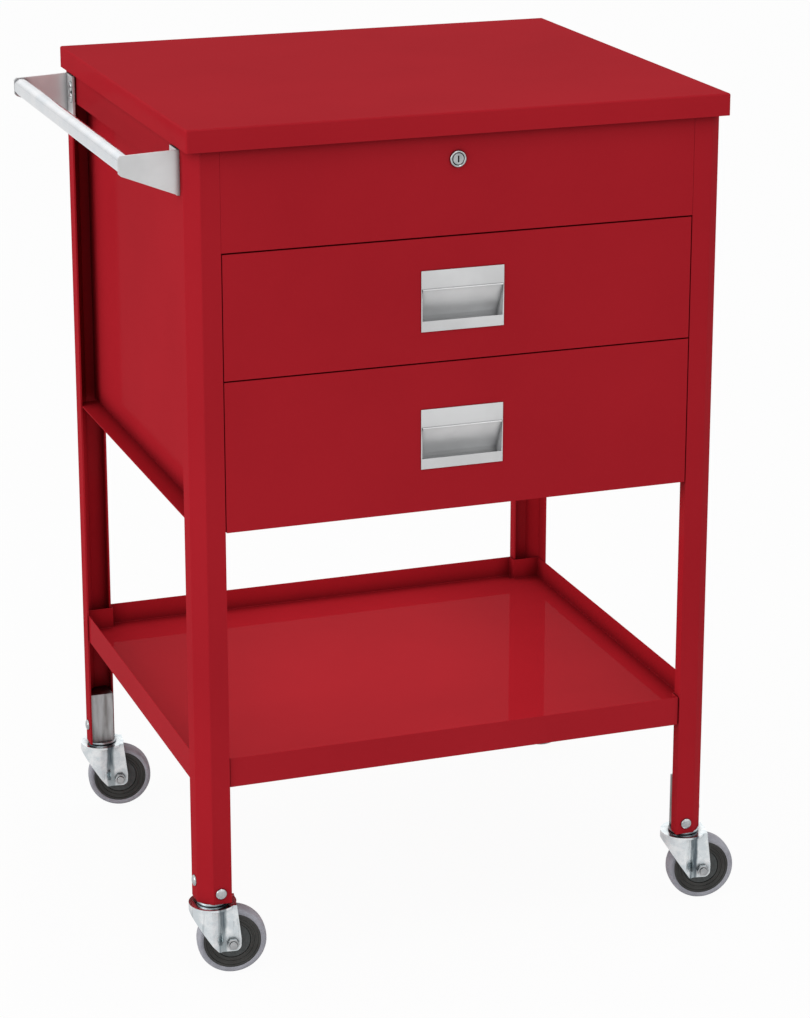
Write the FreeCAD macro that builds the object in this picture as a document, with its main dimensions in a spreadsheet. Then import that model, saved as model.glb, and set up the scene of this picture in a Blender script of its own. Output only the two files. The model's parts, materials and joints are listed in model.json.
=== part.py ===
import FreeCAD, Part
import math
import os
import re
import Sketcher
from FreeCAD import Placement, Rotation, Vector

# Service cart: a welded sheet-steel cabinet on four folded legs, with a lockable lift-up
# lid, two drawers on telescopic slides, a lower tray, a side handle and swivel casters.
# The front faces -Y, X runs across the cart and Z is up, with the floor at zero.

doc = FreeCAD.newDocument("service_cart")
sheet = doc.addObject("Spreadsheet::Sheet", "Sizes")

SIZES = {
    # Overall
    "cart_width": 597,
    "cart_depth": 518,
    "cart_height": 940,
    "panel_gauge": 1.2,
    "running_gap": 0.4,
    "bolt_play": 0.1,
    # Legs
    "leg_gauge": 2,
    "leg_face": 35,
    "leg_bevel": 14,
    "leg_lip": 14,
    "leg_foot": 86,
    "leg_bend": 2.4,
    # Lid
    "lid_edge": 24,
    "lid_side": 2.2,
    "lid_front": 9,
    "lid_bend": 2.2,
    "rim_gap": 0.5,
    "stiffener_width": 70,
    "stiffener_depth": 11,
    "stiffener_foot": 14,
    "stiffener_length": 500,
    # Front panels and seams
    "compartment_tall": 108.5,
    "upper_front_tall": 135.5,
    "lower_front_tall": 164,
    "seam_gap": 1.5,
    "front_gap": 1,
    "front_pan": 20,
    # Side and back panels
    "side_recess": 25.4,
    "header_drop": 34,
    "ledge_rise": 9,
    "corner_gap": 3,
    "compartment_floor_rise": 4.5,
    "divider_height": 10,
    "divider_depth": 22,
    "base_rise": 2.5,
    "floor_flange": 16,
    # Shelf tray
    "shelf_base": 220,
    "shelf_skirt": 33,
    "shelf_rise": 8,
    # Handle
    "handle_reach": 64,
    "bar_width": 16,
    "bar_thick": 19,
    "bar_wall": 2,
    "bar_drop": 15,
    "bracket_gauge": 2.5,
    "bracket_inset": 27,
    "bracket_tall": 48,
    "bracket_tip": 21,
    "bracket_flange": 26,
    "bracket_drop": 2,
    "handle_screw_rise": 12,
    # Hinge
    "hinge_length": 480,
    "knuckle_pitch": 60,
    "knuckle_gap": 0.6,
    "knuckle_radius": 3,
    "hinge_pin_radius": 1.5,
    "hinge_leaf": 22,
    "hinge_play": 0.06,
    "hinge_stand": 0.3,
    # Lock
    "lock_offset": -6,
    "lock_drop": 27,
    "lock_ring_radius": 9.2,
    "lock_ring_front": 2.6,
    "lock_barrel_radius": 8,
    "lock_barrel_length": 20,
    "lock_plug_radius": 6.3,
    "lock_plug_play": 0.08,
    "lock_nut_thick": 4,
    "keyway_width": 1.4,
    "keyway_tall": 7,
    "keyway_depth": 8,
    "cam_length": 24,
    "cam_width": 13,
    "cam_gauge": 2,
    "strike_gauge": 1.6,
    "strike_width": 16,
    "strike_reach": 14,
    # Drawers and pulls
    "drawer_gauge": 1,
    "drawer_depth": 450,
    "upper_box_rise": 9,
    "upper_box_tall": 98,
    "lower_box_rise": 8,
    "lower_box_tall": 128,
    "pull_width": 94,
    "pull_tall": 66,
    "pull_label": 21,
    "pull_lip": 11.5,
    "pull_proud": 0.9,
    "pull_depth": 16,
    "pull_wall": 1,
    "pull_slot": 11,
    "pull_margin": 1.2,
    "upper_pull_drop": 68.5,
    "lower_pull_drop": 84,
    # Telescopic slides
    "slide_length": 440,
    "slide_tall": 40,
    "slide_thick": 13,
    "slide_gauge": 1.2,
    "slide_lip": 3,
    "slide_setback": 21.5,
    "hat_half": 12.5,
    "upper_slide_rise": 53,
    "lower_slide_rise": 67,
    # Casters
    "caster_inset": 18,
    "caster_turn": -10,
    "caster_trail": 20,
    "post_side": 28,
    "post_tall": 62,
    "race_radius": 17,
    "race_thick": 2.8,
    "kingpin_radius": 5,
    "kingpin_head_radius": 7.5,
    "kingpin_head_thick": 2.6,
    "fork_gauge": 2.5,
    "crown_radius": 26,
    "fork_inside": 26,
    "fork_neck": 3,
    "fork_waist": 9,
    "fork_bend": 5,
    "fork_shoulder": 3.2,
    "fork_skirt": 7,
    "fork_foot_radius": 9.5,
    "wheel_radius": 38.1,
    "tread_inner_radius": 31.5,
    "tread_width": 21,
    "tread_flat": 9,
    "hub_bore_play": 0.08,
    "hub_boss_radius": 9,
    "hub_recess": 1.2,
    "axle_radius": 4,
    "axle_head_radius": 6.8,
    "axle_head_thick": 4.5,
    "axle_nut_thick": 5,
    "socket_bolt_radius": 3,
    "socket_bolt_head": 6.3,
    "socket_bolt_crown": 3.2,
    "socket_bolt_length": 9,
    "socket_bolt_inset": 23,
    "face_bolt_rise": 12,
    "side_bolt_rise": 22,
}

for row, (alias, number) in enumerate(SIZES.items(), start=1):
    sheet.set("A%d" % row, alias)
    sheet.set("B%d" % row, str(number))
    sheet.setAlias("B%d" % row, alias)

# The handle stands out on the left, the casters trail to the right and the lid overhangs
# the front, so the cart's own middle is moved until all of it is centred on the origin.
DERIVED = {
    "caster_reach": "cart_width / 2 - caster_inset + caster_trail * cos(caster_turn * 1 deg)"
    " + wheel_radius * cos(caster_turn * 1 deg) - tread_flat / 2 * sin(caster_turn * 1 deg)",
    "cart_x": "(cart_width / 2 + handle_reach - caster_reach) / 2",
    "cart_y": "(lid_front + caster_inset - crown_radius) / 2",
    "lid_base": "cart_height - lid_edge",
    "rim": "cart_height - panel_gauge - rim_gap",
    "header_base": "lid_base - header_drop",
    "bar_height": "lid_base - bar_drop",
    "panel_seam": "lid_base - compartment_tall",
    "drawer_seam": "panel_seam - upper_front_tall",
    "cabinet_base": "drawer_seam - lower_front_tall",
    "ledge_height": "cabinet_base + ledge_rise",
    "upper_pull_height": "panel_seam - upper_pull_drop",
    "lower_pull_height": "drawer_seam - lower_pull_drop",
    "upper_slide_height": "drawer_seam + upper_slide_rise",
    "lower_slide_height": "cabinet_base + lower_slide_rise",
    "inner_half": "cart_width / 2 - side_recess - panel_gauge",
    "front_half": "cart_width / 2 - leg_face",
    "hinge_y": "cart_depth / 2 + hinge_stand + knuckle_radius",
    "hinge_z": "lid_base - knuckle_radius - knuckle_gap",
    "lid_rear": "hinge_stand + knuckle_radius + panel_gauge * 1.5",
    "lock_height": "lid_base - lock_drop",
    "handle_screw_depth": "cart_depth / 2 - bracket_inset - bracket_flange"
    " + socket_bolt_head + bracket_gauge / 2",
    "slide_spacer": "inner_half - front_half - slide_gauge",
    "drawer_half": "inner_half - slide_spacer - slide_thick",
}


def bound(text):
    """Points every size name of an expression at its cell in the sheet."""
    words = "|".join(sorted(list(SIZES) + list(DERIVED), key=len, reverse=True))
    return re.sub(r"\b(%s)\b" % words, r"Sizes.\1", text)


for row, (alias, formula) in enumerate(DERIVED.items(), start=len(SIZES) + 2):
    sheet.set("A%d" % row, alias)
    sheet.set("B%d" % row, "=" + formula)
    sheet.setAlias("B%d" % row, alias)
doc.recompute()


def size(name):
    """The number that a cell of the sheet holds."""
    return float(getattr(sheet, name))


def place(piece, at, axis=None, turn=None):
    """Sets a piece on the cart: its place and one turn, both bound to the sheet."""
    if axis:
        piece.Placement = Placement(Vector(), Rotation(Vector(*axis), 90))
        piece.setExpression("Placement.Rotation.Angle", bound("(%s) * 1 deg" % turn))
    for name, shift, text in zip("xyz", ("cart_x", "cart_y", "0"), at):
        piece.setExpression("Placement.Base.%s" % name, bound("(%s + %s) * 1 mm" % (shift, text)))


def new_body(label):
    body = doc.addObject("PartDesign::Body", label)
    body.Label = label
    return body


def plane_of(body, role):
    return next(f for f in body.Origin.OriginFeatures if f.Role == role)


def new_sketch(body, role, lift=None):
    """A sketch on one of the body's own planes, lifted off it if a height is given."""
    sketch = body.newObject("Sketcher::SketchObject", body.Label + "_sketch")
    sketch.AttachmentSupport = [(plane_of(body, role), "")]
    sketch.MapMode = "FlatFace"
    if lift:
        sketch.setExpression("AttachmentOffset.Base.z", bound("(%s) * 1 mm" % lift))
    return sketch


def outline(sketch, corners):
    """A closed outline of straight lines, with every corner's place bound to the sheet."""
    count = len(corners)
    first = sketch.GeometryCount
    start = [Vector(10, 0, 0)]
    for step in range(1, count):
        start.append(Rotation(Vector(0, 0, 1), 360 * step / count).multVec(start[0]))
    for step in range(count):
        sketch.addGeometry(Part.LineSegment(start[step], start[(step + 1) % count]), False)
    for step in range(count):
        following = first + (step + 1) % count
        sketch.addConstraint(Sketcher.Constraint("Coincident", first + step, 2, following, 1))
    for step, (across, up) in enumerate(corners):
        for kind, text, now in (("DistanceX", across, start[step].x), ("DistanceY", up, start[step].y)):
            index = sketch.addConstraint(Sketcher.Constraint(kind, -1, 1, first + step, 1, now))
            sketch.setExpression("Constraints[%d]" % index, bound("(%s) * 1 mm" % text))


def circle(sketch, across, up, radius):
    """A circle whose centre and radius are bound to the sheet."""
    index = sketch.addGeometry(Part.Circle(Vector(1, 1, 0), Vector(0, 0, 1), 5), False)
    bindings = (
        (Sketcher.Constraint("DistanceX", -1, 1, index, 3, 1.0), across),
        (Sketcher.Constraint("DistanceY", -1, 1, index, 3, 1.0), up),
        (Sketcher.Constraint("Radius", index, 5.0), radius),
    )
    for constraint, text in bindings:
        number = sketch.addConstraint(constraint)
        sketch.setExpression("Constraints[%d]" % number, bound("(%s) * 1 mm" % text))


def box_corners(left, bottom, right, top):
    return [(left, bottom), (right, bottom), (right, top), (left, top)]


def mirrored(corners):
    return [("-(%s)" % across, up) for across, up in corners]


def pad(body, sketch, length, middle=False, reverse=False):
    feature = body.newObject("PartDesign::Pad", body.Label + "_pad")
    feature.Profile = sketch
    feature.setExpression("Length", bound("(%s) * 1 mm" % length))
    feature.Midplane = middle
    feature.Reversed = reverse
    body.Tip = feature
    return feature


def pocket(body, sketch, length, middle=False, reverse=False):
    """A cut of the given depth, or right through where the depth is left out."""
    doc.recompute()
    before = body.Shape.Volume
    feature = body.newObject("PartDesign::Pocket", body.Label + "_pocket")
    feature.Profile = sketch
    feature.setExpression("Length", bound("(%s) * 1 mm" % length))
    feature.Midplane = middle
    feature.Reversed = reverse
    body.Tip = feature
    doc.recompute()
    if body.Shape.Volume > before - 1e-3:
        raise RuntimeError("pocket of %s cuts nothing" % body.Label)
    return feature


def soften(body, radius, wanted):
    """Rounds the body's edges that the test picks."""
    doc.recompute()
    base = body.Tip
    names = ["Edge%d" % (n + 1) for n, edge in enumerate(base.Shape.Edges) if wanted(edge)]
    if not names:
        raise RuntimeError("no edge to round on %s" % body.Label)
    feature = body.newObject("PartDesign::Fillet", body.Label + "_fillet")
    feature.Base = (base, names)
    feature.setExpression("Radius", bound("(%s) * 1 mm" % radius))
    body.Tip = feature
    doc.recompute()
    return feature


def turned(label, corners):
    """A body turned about its own Z axis from a half profile of (radius, height)."""
    body = new_body(label)
    sketch = new_sketch(body, "XZ_Plane")
    outline(sketch, corners)
    feature = body.newObject("PartDesign::Revolution", label + "_turn")
    feature.Profile = sketch
    feature.ReferenceAxis = (sketch, ["V_Axis"])
    feature.Angle = 360
    body.Tip = feature
    return body


def shaped(label, shape):
    """A piece whose shape comes from Part's own functions."""
    piece = doc.addObject("Part::Feature", label)
    piece.Label = label
    piece.Shape = shape
    return piece


def upright(edge, least=1.0):
    """True for a straight edge along Z."""
    ends = [vertex.Point for vertex in edge.Vertexes]
    if len(ends) != 2 or edge.Curve.TypeId != "Part::GeomLine":
        return False
    run = ends[1] - ends[0]
    return abs(run.z) > least and abs(run.z) > 0.999 * run.Length


KEPT = []


def keep(piece):
    KEPT.append(piece)
    return piece


# Legs: a folded angle with a broad bevel at the corner and a return lip on the flange that
# faces the front or the back. Two holes near the foot take the caster socket's bolts.
def leg_section():
    inner = "leg_bevel + leg_gauge * tan(22.5 deg)"
    return [
        ("leg_bevel", "0"),
        ("leg_face", "0"),
        ("leg_face", "leg_lip"),
        ("leg_face - leg_gauge", "leg_lip"),
        ("leg_face - leg_gauge", "leg_gauge"),
        (inner, "leg_gauge"),
        ("leg_gauge", inner),
        ("leg_gauge", "leg_face"),
        ("0", "leg_face"),
        ("0", "leg_bevel"),
    ]


def leg(label, side, end):
    """One leg. Side is -1 for left and 1 for right, end is -1 for front and 1 for back."""
    body = new_body(label)
    hand = -side * -end
    corners = leg_section() if hand > 0 else mirrored(leg_section())
    sketch = new_sketch(body, "XY_Plane")
    outline(sketch, corners)
    pad(body, sketch, "rim - leg_foot")
    soften(body, "leg_bend", lambda edge: upright(edge) and on_bevel(edge))
    face = new_sketch(body, "XZ_Plane")
    circle(face, "%d * socket_bolt_inset" % hand, "face_bolt_rise", "socket_bolt_radius + bolt_play")
    pocket(body, face, "leg_gauge * 2", reverse=False)
    flank = new_sketch(body, "YZ_Plane")
    circle(flank, "socket_bolt_inset", "side_bolt_rise", "socket_bolt_radius + bolt_play")
    pocket(body, flank, "leg_gauge * 2", reverse=hand > 0)
    turn = "0" if end < 0 else "180"
    place(body, ("%d * cart_width / 2" % side, "%d * cart_depth / 2" % end, "leg_foot"), (0, 0, 1), turn)
    return keep(body)


def on_bevel(edge):
    """True for the two outer edges of a leg's bevel, measured in the leg's own frame."""
    point = edge.Vertexes[0].Point
    near_zero = min(abs(point.x), abs(point.y)) < 1e-6
    return near_zero and abs(max(abs(point.x), abs(point.y)) - size("leg_bevel")) < 1e-6


LEGS = [("front_left", -1, -1), ("front_right", 1, -1), ("rear_left", -1, 1), ("rear_right", 1, 1)]
for name, side, end in LEGS:
    leg("leg_" + name, side, end)


# Side panels: one sheet with a header band against the legs' inner faces, a step in to the
# recessed wall that runs from leg to leg, and a ledge that comes out again at the foot.
def side_panel(label, side):
    body = new_body(label)
    corners = [
        ("leg_gauge", "rim"),
        ("leg_gauge", "header_base"),
        ("side_recess", "header_base"),
        ("side_recess", "ledge_height"),
        ("leg_gauge", "ledge_height"),
        ("leg_gauge", "ledge_height - panel_gauge"),
        ("side_recess + panel_gauge", "ledge_height - panel_gauge"),
        ("side_recess + panel_gauge", "header_base + panel_gauge"),
        ("leg_gauge + panel_gauge", "header_base + panel_gauge"),
        ("leg_gauge + panel_gauge", "rim"),
    ]
    sketch = new_sketch(body, "XZ_Plane")
    outline(sketch, corners if side < 0 else mirrored(corners))
    pad(body, sketch, "cart_depth - 2 * (leg_lip + corner_gap)", middle=True)
    wall = box_corners(
        "side_recess", "ledge_height - panel_gauge", "side_recess + panel_gauge", "header_base"
    )
    wall_sketch = new_sketch(body, "XZ_Plane")
    outline(wall_sketch, wall if side < 0 else mirrored(wall))
    pad(body, wall_sketch, "cart_depth - 2 * leg_gauge", middle=True)
    if side < 0:
        screws = new_sketch(body, "YZ_Plane")
        for end in (-1, 1):
            for drop in ("handle_screw_rise", "0"):
                circle(
                    screws,
                    "%d * handle_screw_depth" % end,
                    "bar_height - %s" % drop,
                    "socket_bolt_radius + bolt_play",
                )
        pocket(body, screws, "side_recess / 2", reverse=True)
    place(body, ("%d * cart_width / 2" % side, "0", "0"))
    return keep(body)


side_panel("side_panel_left", -1)
side_panel("side_panel_right", 1)


# Back panel and compartment front: flat panels with flanges folded back along the legs'
# lips, flush with the legs' faces. The compartment front carries the lock.
def flush_panel(label, end, base):
    body = new_body(label)
    corners = [
        ("-front_half", "0"),
        ("front_half", "0"),
        ("front_half", "leg_lip"),
        ("front_half - panel_gauge", "leg_lip"),
        ("front_half - panel_gauge", "panel_gauge"),
        ("-front_half + panel_gauge", "panel_gauge"),
        ("-front_half + panel_gauge", "leg_lip"),
        ("-front_half", "leg_lip"),
    ]
    sketch = new_sketch(body, "XY_Plane")
    outline(sketch, corners)
    pad(body, sketch, "rim - (%s)" % base)
    turn = "0" if end < 0 else "180"
    place(body, ("0", "%d * cart_depth / 2" % end, base), (0, 0, 1), turn)
    return keep(body)


flush_panel("back_panel", 1, "cabinet_base")
compartment_front = flush_panel("compartment_front", -1, "panel_seam + seam_gap / 2")
lock_hole = new_sketch(compartment_front, "XZ_Plane")
circle(
    lock_hole,
    "lock_offset",
    "lock_height - panel_seam - seam_gap / 2",
    "lock_barrel_radius + bolt_play",
)
pocket(compartment_front, lock_hole, "panel_gauge * 2")


# Floors: flat sheets notched at the corners to pass the legs' lips.
def notched(half, front, back, notch_half, notch):
    """A plan outline with all four corners cut away."""
    return [
        ("-(%s)" % notch_half, front),
        (notch_half, front),
        (notch_half, "%s + %s" % (front, notch)),
        (half, "%s + %s" % (front, notch)),
        (half, "%s - (%s)" % (back, notch)),
        (notch_half, "%s - (%s)" % (back, notch)),
        (notch_half, back),
        ("-(%s)" % notch_half, back),
        ("-(%s)" % notch_half, "%s - (%s)" % (back, notch)),
        ("-(%s)" % half, "%s - (%s)" % (back, notch)),
        ("-(%s)" % half, "%s + %s" % (front, notch)),
        ("-(%s)" % notch_half, "%s + %s" % (front, notch)),
    ]


def floor_sheet(label, height, front):
    """A floor with a flange turned up along each side panel."""
    body = new_body(label)
    sketch = new_sketch(body, "XY_Plane")
    back = "cart_depth / 2 - panel_gauge"
    corners = notched("inner_half", front, back, "front_half - panel_gauge", "leg_lip")
    outline(sketch, corners)
    pad(body, sketch, "panel_gauge")
    flanges = new_sketch(body, "XY_Plane")
    strip = box_corners(
        "inner_half - panel_gauge", front + " + leg_lip", "inner_half", back + " - leg_lip"
    )
    outline(flanges, strip)
    outline(flanges, mirrored(strip))
    pad(body, flanges, "floor_flange")
    place(body, ("0", "0", height))
    return keep(body)


floor_sheet("compartment_floor", "panel_seam + compartment_floor_rise", "-cart_depth / 2 + panel_gauge")
floor_sheet("cabinet_bottom", "cabinet_base + base_rise", "-cart_depth / 2 + front_pan + seam_gap")

# Drawer divider: a channel across the cabinet behind the seam between the drawers.
divider = new_body("drawer_divider")
divider_sketch = new_sketch(divider, "YZ_Plane")
outline(
    divider_sketch,
    [
        ("0", "-divider_height / 2"),
        ("panel_gauge", "-divider_height / 2"),
        ("panel_gauge", "divider_height / 2 - panel_gauge"),
        ("divider_depth", "divider_height / 2 - panel_gauge"),
        ("divider_depth", "divider_height / 2"),
        ("0", "divider_height / 2"),
    ],
)
pad(divider, divider_sketch, "inner_half * 2", middle=True)
place(divider, ("0", "-cart_depth / 2 + front_pan + seam_gap", "drawer_seam"))
keep(divider)

# Shelf tray: a pan whose skirt hangs a little below its floor, notched round the legs.
shelf = new_body("shelf_tray")


def shelf_outline(inset):
    return notched(
        "cart_width / 2 - leg_gauge - %s" % inset,
        "-cart_depth / 2 + leg_gauge + %s" % inset,
        "cart_depth / 2 - leg_gauge - %s" % inset,
        "front_half - seam_gap / 2 - %s" % inset,
        "leg_lip - leg_gauge + seam_gap",
    )


shelf_sketch = new_sketch(shelf, "XY_Plane")
outline(shelf_sketch, shelf_outline("0"))
pad(shelf, shelf_sketch, "shelf_skirt")
shelf_well = new_sketch(shelf, "XY_Plane", "shelf_skirt")
outline(shelf_well, shelf_outline("panel_gauge"))
pocket(shelf, shelf_well, "shelf_skirt - shelf_rise")
shelf_under = new_sketch(shelf, "XY_Plane")
outline(shelf_under, shelf_outline("panel_gauge"))
pocket(shelf, shelf_under, "shelf_rise - panel_gauge", reverse=True)
place(shelf, ("0", "0", "shelf_base"))
keep(shelf)

# Handle: a flattened tube between two tapered brackets, each with a flange that is screwed
# to the header band.
bar = new_body("handle_bar")
bar_run = "cart_depth - 2 * bracket_inset"
bar_sketch = new_sketch(bar, "XZ_Plane")
outline(bar_sketch, box_corners("-bar_width / 2", "-bar_thick / 2", "bar_width / 2", "bar_thick / 2"))
pad(bar, bar_sketch, bar_run, middle=True)


def lengthwise(edge):
    """True for a straight edge along Y."""
    ends = [vertex.Point for vertex in edge.Vertexes]
    return len(ends) == 2 and abs(ends[1].y - ends[0].y) > 0.999 * edge.Length


soften(bar, "bar_width / 2 - panel_gauge", lengthwise)
bar_bore = new_sketch(bar, "XZ_Plane")
circle(bar_bore, "0", "0", "bar_width / 2 - bar_wall")
pocket(bar, bar_bore, bar_run, middle=True)
place(bar, ("-cart_width / 2 - handle_reach + bar_width / 2", "0", "bar_height"))
keep(bar)


def handle_bracket(label, end):
    """A tapered plate that faces along Y, with its screw flange folded along the cart."""
    body = new_body(label)
    sketch = new_sketch(body, "XZ_Plane")
    top = "lid_base - bracket_drop - bar_height"
    outline(
        sketch,
        [
            ("0", top),
            ("-handle_reach + bar_width / 2", "bracket_tip / 2"),
            ("-handle_reach + bracket_gauge", "bracket_tip / 2"),
            ("-handle_reach", "bracket_tip / 2 - bracket_gauge"),
            ("-handle_reach", "-bracket_tip / 2 + bracket_gauge"),
            ("-handle_reach + bracket_gauge", "-bracket_tip / 2"),
            ("0", "%s - bracket_tall" % top),
        ],
    )
    pad(body, sketch, "bracket_gauge", reverse=end > 0)
    flange = new_sketch(body, "XY_Plane", "%s - bracket_tall" % top)
    start = "0"
    finish = "%d * bracket_flange" % -end
    outline(flange, box_corners("-bracket_gauge", start, "0", finish))
    pad(body, flange, "bracket_tall")
    hole = new_sketch(body, "YZ_Plane")
    for rise in ("-handle_screw_rise", "0"):
        across = "%d * (handle_screw_depth - cart_depth / 2 + bracket_inset)" % end
        circle(hole, across, rise, "socket_bolt_radius + bolt_play")
    pocket(body, hole, "bracket_gauge * 2", reverse=False)
    depth = "%d * (cart_depth / 2 - bracket_inset)" % end
    place(body, ("-cart_width / 2", depth, "bar_height"))
    return keep(body)


handle_bracket("handle_bracket_front", -1)
handle_bracket("handle_bracket_rear", 1)


def dome_bolt(length):
    """A domed screw about the Z axis: head above zero, shank below."""
    head = size("socket_bolt_head")
    top = Part.makeCone(head, head * 0.5, size("socket_bolt_crown"))
    shank = Part.makeCylinder(size("socket_bolt_radius"), length, Vector(0, 0, -length))
    return top.fuse(shank).removeSplitter()


def set_out(shape, axis, angle, x, y, z):
    copy = shape.copy()
    copy.Placement = Placement(Vector(x, y, z), Rotation(Vector(*axis), angle))
    return copy


def cart_piece(label, shapes):
    """A group of alike solids, set out in the cart's own frame and moved with it."""
    piece = shaped(label, Part.makeCompound(shapes))
    piece.Placement = Placement(Vector(size("cart_x"), size("cart_y"), 0), Rotation())
    return keep(piece)


handle_screws = []
screw_run = size("bracket_gauge") + size("leg_gauge") + size("panel_gauge") + 1
for end in (-1, 1):
    for rise in (-size("handle_screw_rise"), 0):
        handle_screws.append(
            set_out(
                dome_bolt(screw_run),
                (0, 1, 0),
                -90,
                -size("cart_width") / 2 - size("bracket_gauge"),
                end * size("handle_screw_depth"),
                size("bar_height") + rise,
            )
        )
cart_piece("handle_screws", handle_screws)

# Lid: a shallow pan that overhangs the cabinet on all sides.
lid = new_body("lid")
lid_width = "cart_width / 2 + lid_side"
lid_sketch = new_sketch(lid, "XY_Plane")
lid_front_edge = "-cart_depth / 2 - lid_front"
lid_rear_edge = "cart_depth / 2 + lid_rear"
outline(lid_sketch, box_corners("-(%s)" % lid_width, lid_front_edge, lid_width, lid_rear_edge))
pad(lid, lid_sketch, "lid_edge")


def lid_rounding(edge):
    """The pan's upright corners and the edges round its top."""
    heights = [vertex.Point.z for vertex in edge.Vertexes]
    return upright(edge) or min(heights) > size("lid_edge") - 1e-6


soften(lid, "lid_bend", lid_rounding)
lid_well = new_sketch(lid, "XY_Plane")
outline(
    lid_well,
    box_corners(
        "-(%s - panel_gauge)" % lid_width,
        "%s + panel_gauge" % lid_front_edge,
        "%s - panel_gauge" % lid_width,
        "%s - panel_gauge" % lid_rear_edge,
    ),
)
pocket(lid, lid_well, "lid_edge - panel_gauge", reverse=True)
place(lid, ("0", "0", "lid_base"))
keep(lid)

# Lid stiffener: a hat channel across the underside of the lid.
stiffener = new_body("lid_stiffener")
stiffener_sketch = new_sketch(stiffener, "YZ_Plane")
half = "stiffener_width / 2"
foot = "stiffener_width / 2 - stiffener_foot"
outline(
    stiffener_sketch,
    [
        ("-(%s)" % half, "0"),
        ("-(%s)" % half, "-panel_gauge"),
        ("-(%s)" % foot, "-panel_gauge"),
        ("-(%s)" % foot, "-stiffener_depth"),
        (foot, "-stiffener_depth"),
        (foot, "-panel_gauge"),
        (half, "-panel_gauge"),
        (half, "0"),
        ("%s - panel_gauge" % foot, "0"),
        ("%s - panel_gauge" % foot, "panel_gauge - stiffener_depth"),
        ("panel_gauge - (%s)" % foot, "panel_gauge - stiffener_depth"),
        ("panel_gauge - (%s)" % foot, "0"),
    ],
)
pad(stiffener, stiffener_sketch, "stiffener_length", middle=True)
place(stiffener, ("0", "0", "cart_height - panel_gauge"))
keep(stiffener)


# Hinge: two leaves with knuckles that take turns along one pin.
def hinge_leaf(fixed):
    """One leaf about the pin's axis, which runs along X through zero."""
    length = size("hinge_length")
    pitch = size("knuckle_pitch")
    count = int(round(length / pitch))
    gauge = size("panel_gauge")
    radius = size("knuckle_radius")
    gap = size("knuckle_gap")
    barrel = radius - size("hinge_stand") - gauge if fixed else 0
    knuckles = []
    for number in range(count):
        if (number % 2 == 0) != fixed:
            continue
        start = -length / 2 + number * pitch + gap / 2
        knuckles.append(
            Part.makeCylinder(radius, pitch - gap, Vector(start, 0, 0), Vector(1, 0, 0))
        )
        reach = radius + size("knuckle_gap")
        low = -radius - gap if fixed else 0
        face = -radius if fixed else -gauge / 2
        knuckles.append(Part.makeBox(pitch - gap, gauge, reach, Vector(start, face, low)))
    leaf = size("hinge_leaf")
    low = -radius - gap - leaf if fixed else radius + gap
    tall = leaf if fixed else size("lid_edge") - gauge - gap
    face = -radius - size("hinge_stand") if fixed else -gauge / 2
    plate = Part.makeBox(length, gauge, tall, Vector(-length / 2, face, low))
    shape = plate
    for knuckle in knuckles:
        shape = shape.fuse(knuckle)
    bore = size("hinge_pin_radius") + size("hinge_play")
    shape = shape.cut(Part.makeCylinder(bore, length * 2, Vector(-length, 0, 0), Vector(1, 0, 0)))
    return shape.removeSplitter()


def on_hinge(label, shape):
    piece = shaped(label, shape)
    axis = Vector(size("cart_x"), size("cart_y") + size("hinge_y"), size("hinge_z"))
    piece.Placement = Placement(axis, Rotation())
    return keep(piece)


on_hinge("hinge_leaf_fixed", hinge_leaf(True))
on_hinge("hinge_leaf_lid", hinge_leaf(False))
hinge_pin = doc.addObject("Part::Cylinder", "hinge_pin")
hinge_pin.Label = "hinge_pin"
hinge_pin.setExpression("Radius", bound("hinge_pin_radius * 1 mm"))
hinge_pin.setExpression("Height", bound("hinge_length * 1 mm"))
place(hinge_pin, ("-hinge_length / 2", "hinge_y", "hinge_z"), (0, 1, 0), "90")
keep(hinge_pin)

# Lock: a barrel with a front ring through the compartment front, held by a nut, and a plug
# that turns a cam under the strike's foot on the lid.
AT_LOCK = ("lock_offset", "-cart_depth / 2", "lock_height")
lock_body = turned(
    "lock_body",
    [
        ("lock_plug_radius + lock_plug_play", "-lock_ring_front"),
        ("lock_ring_radius - 1", "-lock_ring_front"),
        ("lock_ring_radius", "1 - lock_ring_front"),
        ("lock_ring_radius", "0"),
        ("lock_barrel_radius", "0"),
        ("lock_barrel_radius", "lock_barrel_length"),
        ("lock_plug_radius + lock_plug_play", "lock_barrel_length"),
    ],
)
place(lock_body, AT_LOCK, (1, 0, 0), "-90")
keep(lock_body)

lock_nut = new_body("lock_nut")
nut_sketch = new_sketch(lock_nut, "XY_Plane")
nut_corners = []
for corner in range(6):
    angle = "%d deg" % (60 * corner)
    nut_corners.append(
        ("(lock_barrel_radius + 4) * cos(%s)" % angle, "(lock_barrel_radius + 4) * sin(%s)" % angle)
    )
outline(nut_sketch, nut_corners)
pad(lock_nut, nut_sketch, "lock_nut_thick")
nut_bore = new_sketch(lock_nut, "XY_Plane")
circle(nut_bore, "0", "0", "lock_barrel_radius + bolt_play")
pocket(lock_nut, nut_bore, "lock_nut_thick", reverse=True)
place(lock_nut, ("lock_offset", "-cart_depth / 2 + panel_gauge", "lock_height"), (1, 0, 0), "-90")
keep(lock_nut)

lock_plug = turned(
    "lock_plug",
    [
        ("0", "-lock_ring_front + 0.5"),
        ("lock_plug_radius - 0.6", "-lock_ring_front + 0.5"),
        ("lock_plug_radius", "-lock_ring_front + 1.1"),
        ("lock_plug_radius", "lock_barrel_length + running_gap"),
        ("0", "lock_barrel_length + running_gap"),
    ],
)
keyway = new_sketch(lock_plug, "XY_Plane", "-lock_ring_front - 1")
outline(
    keyway,
    box_corners("-keyway_width / 2", "-keyway_tall / 2", "keyway_width / 2", "keyway_tall / 2"),
)
pocket(lock_plug, keyway, "keyway_depth", reverse=True)
place(lock_plug, AT_LOCK, (1, 0, 0), "-90")
keep(lock_plug)

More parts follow.
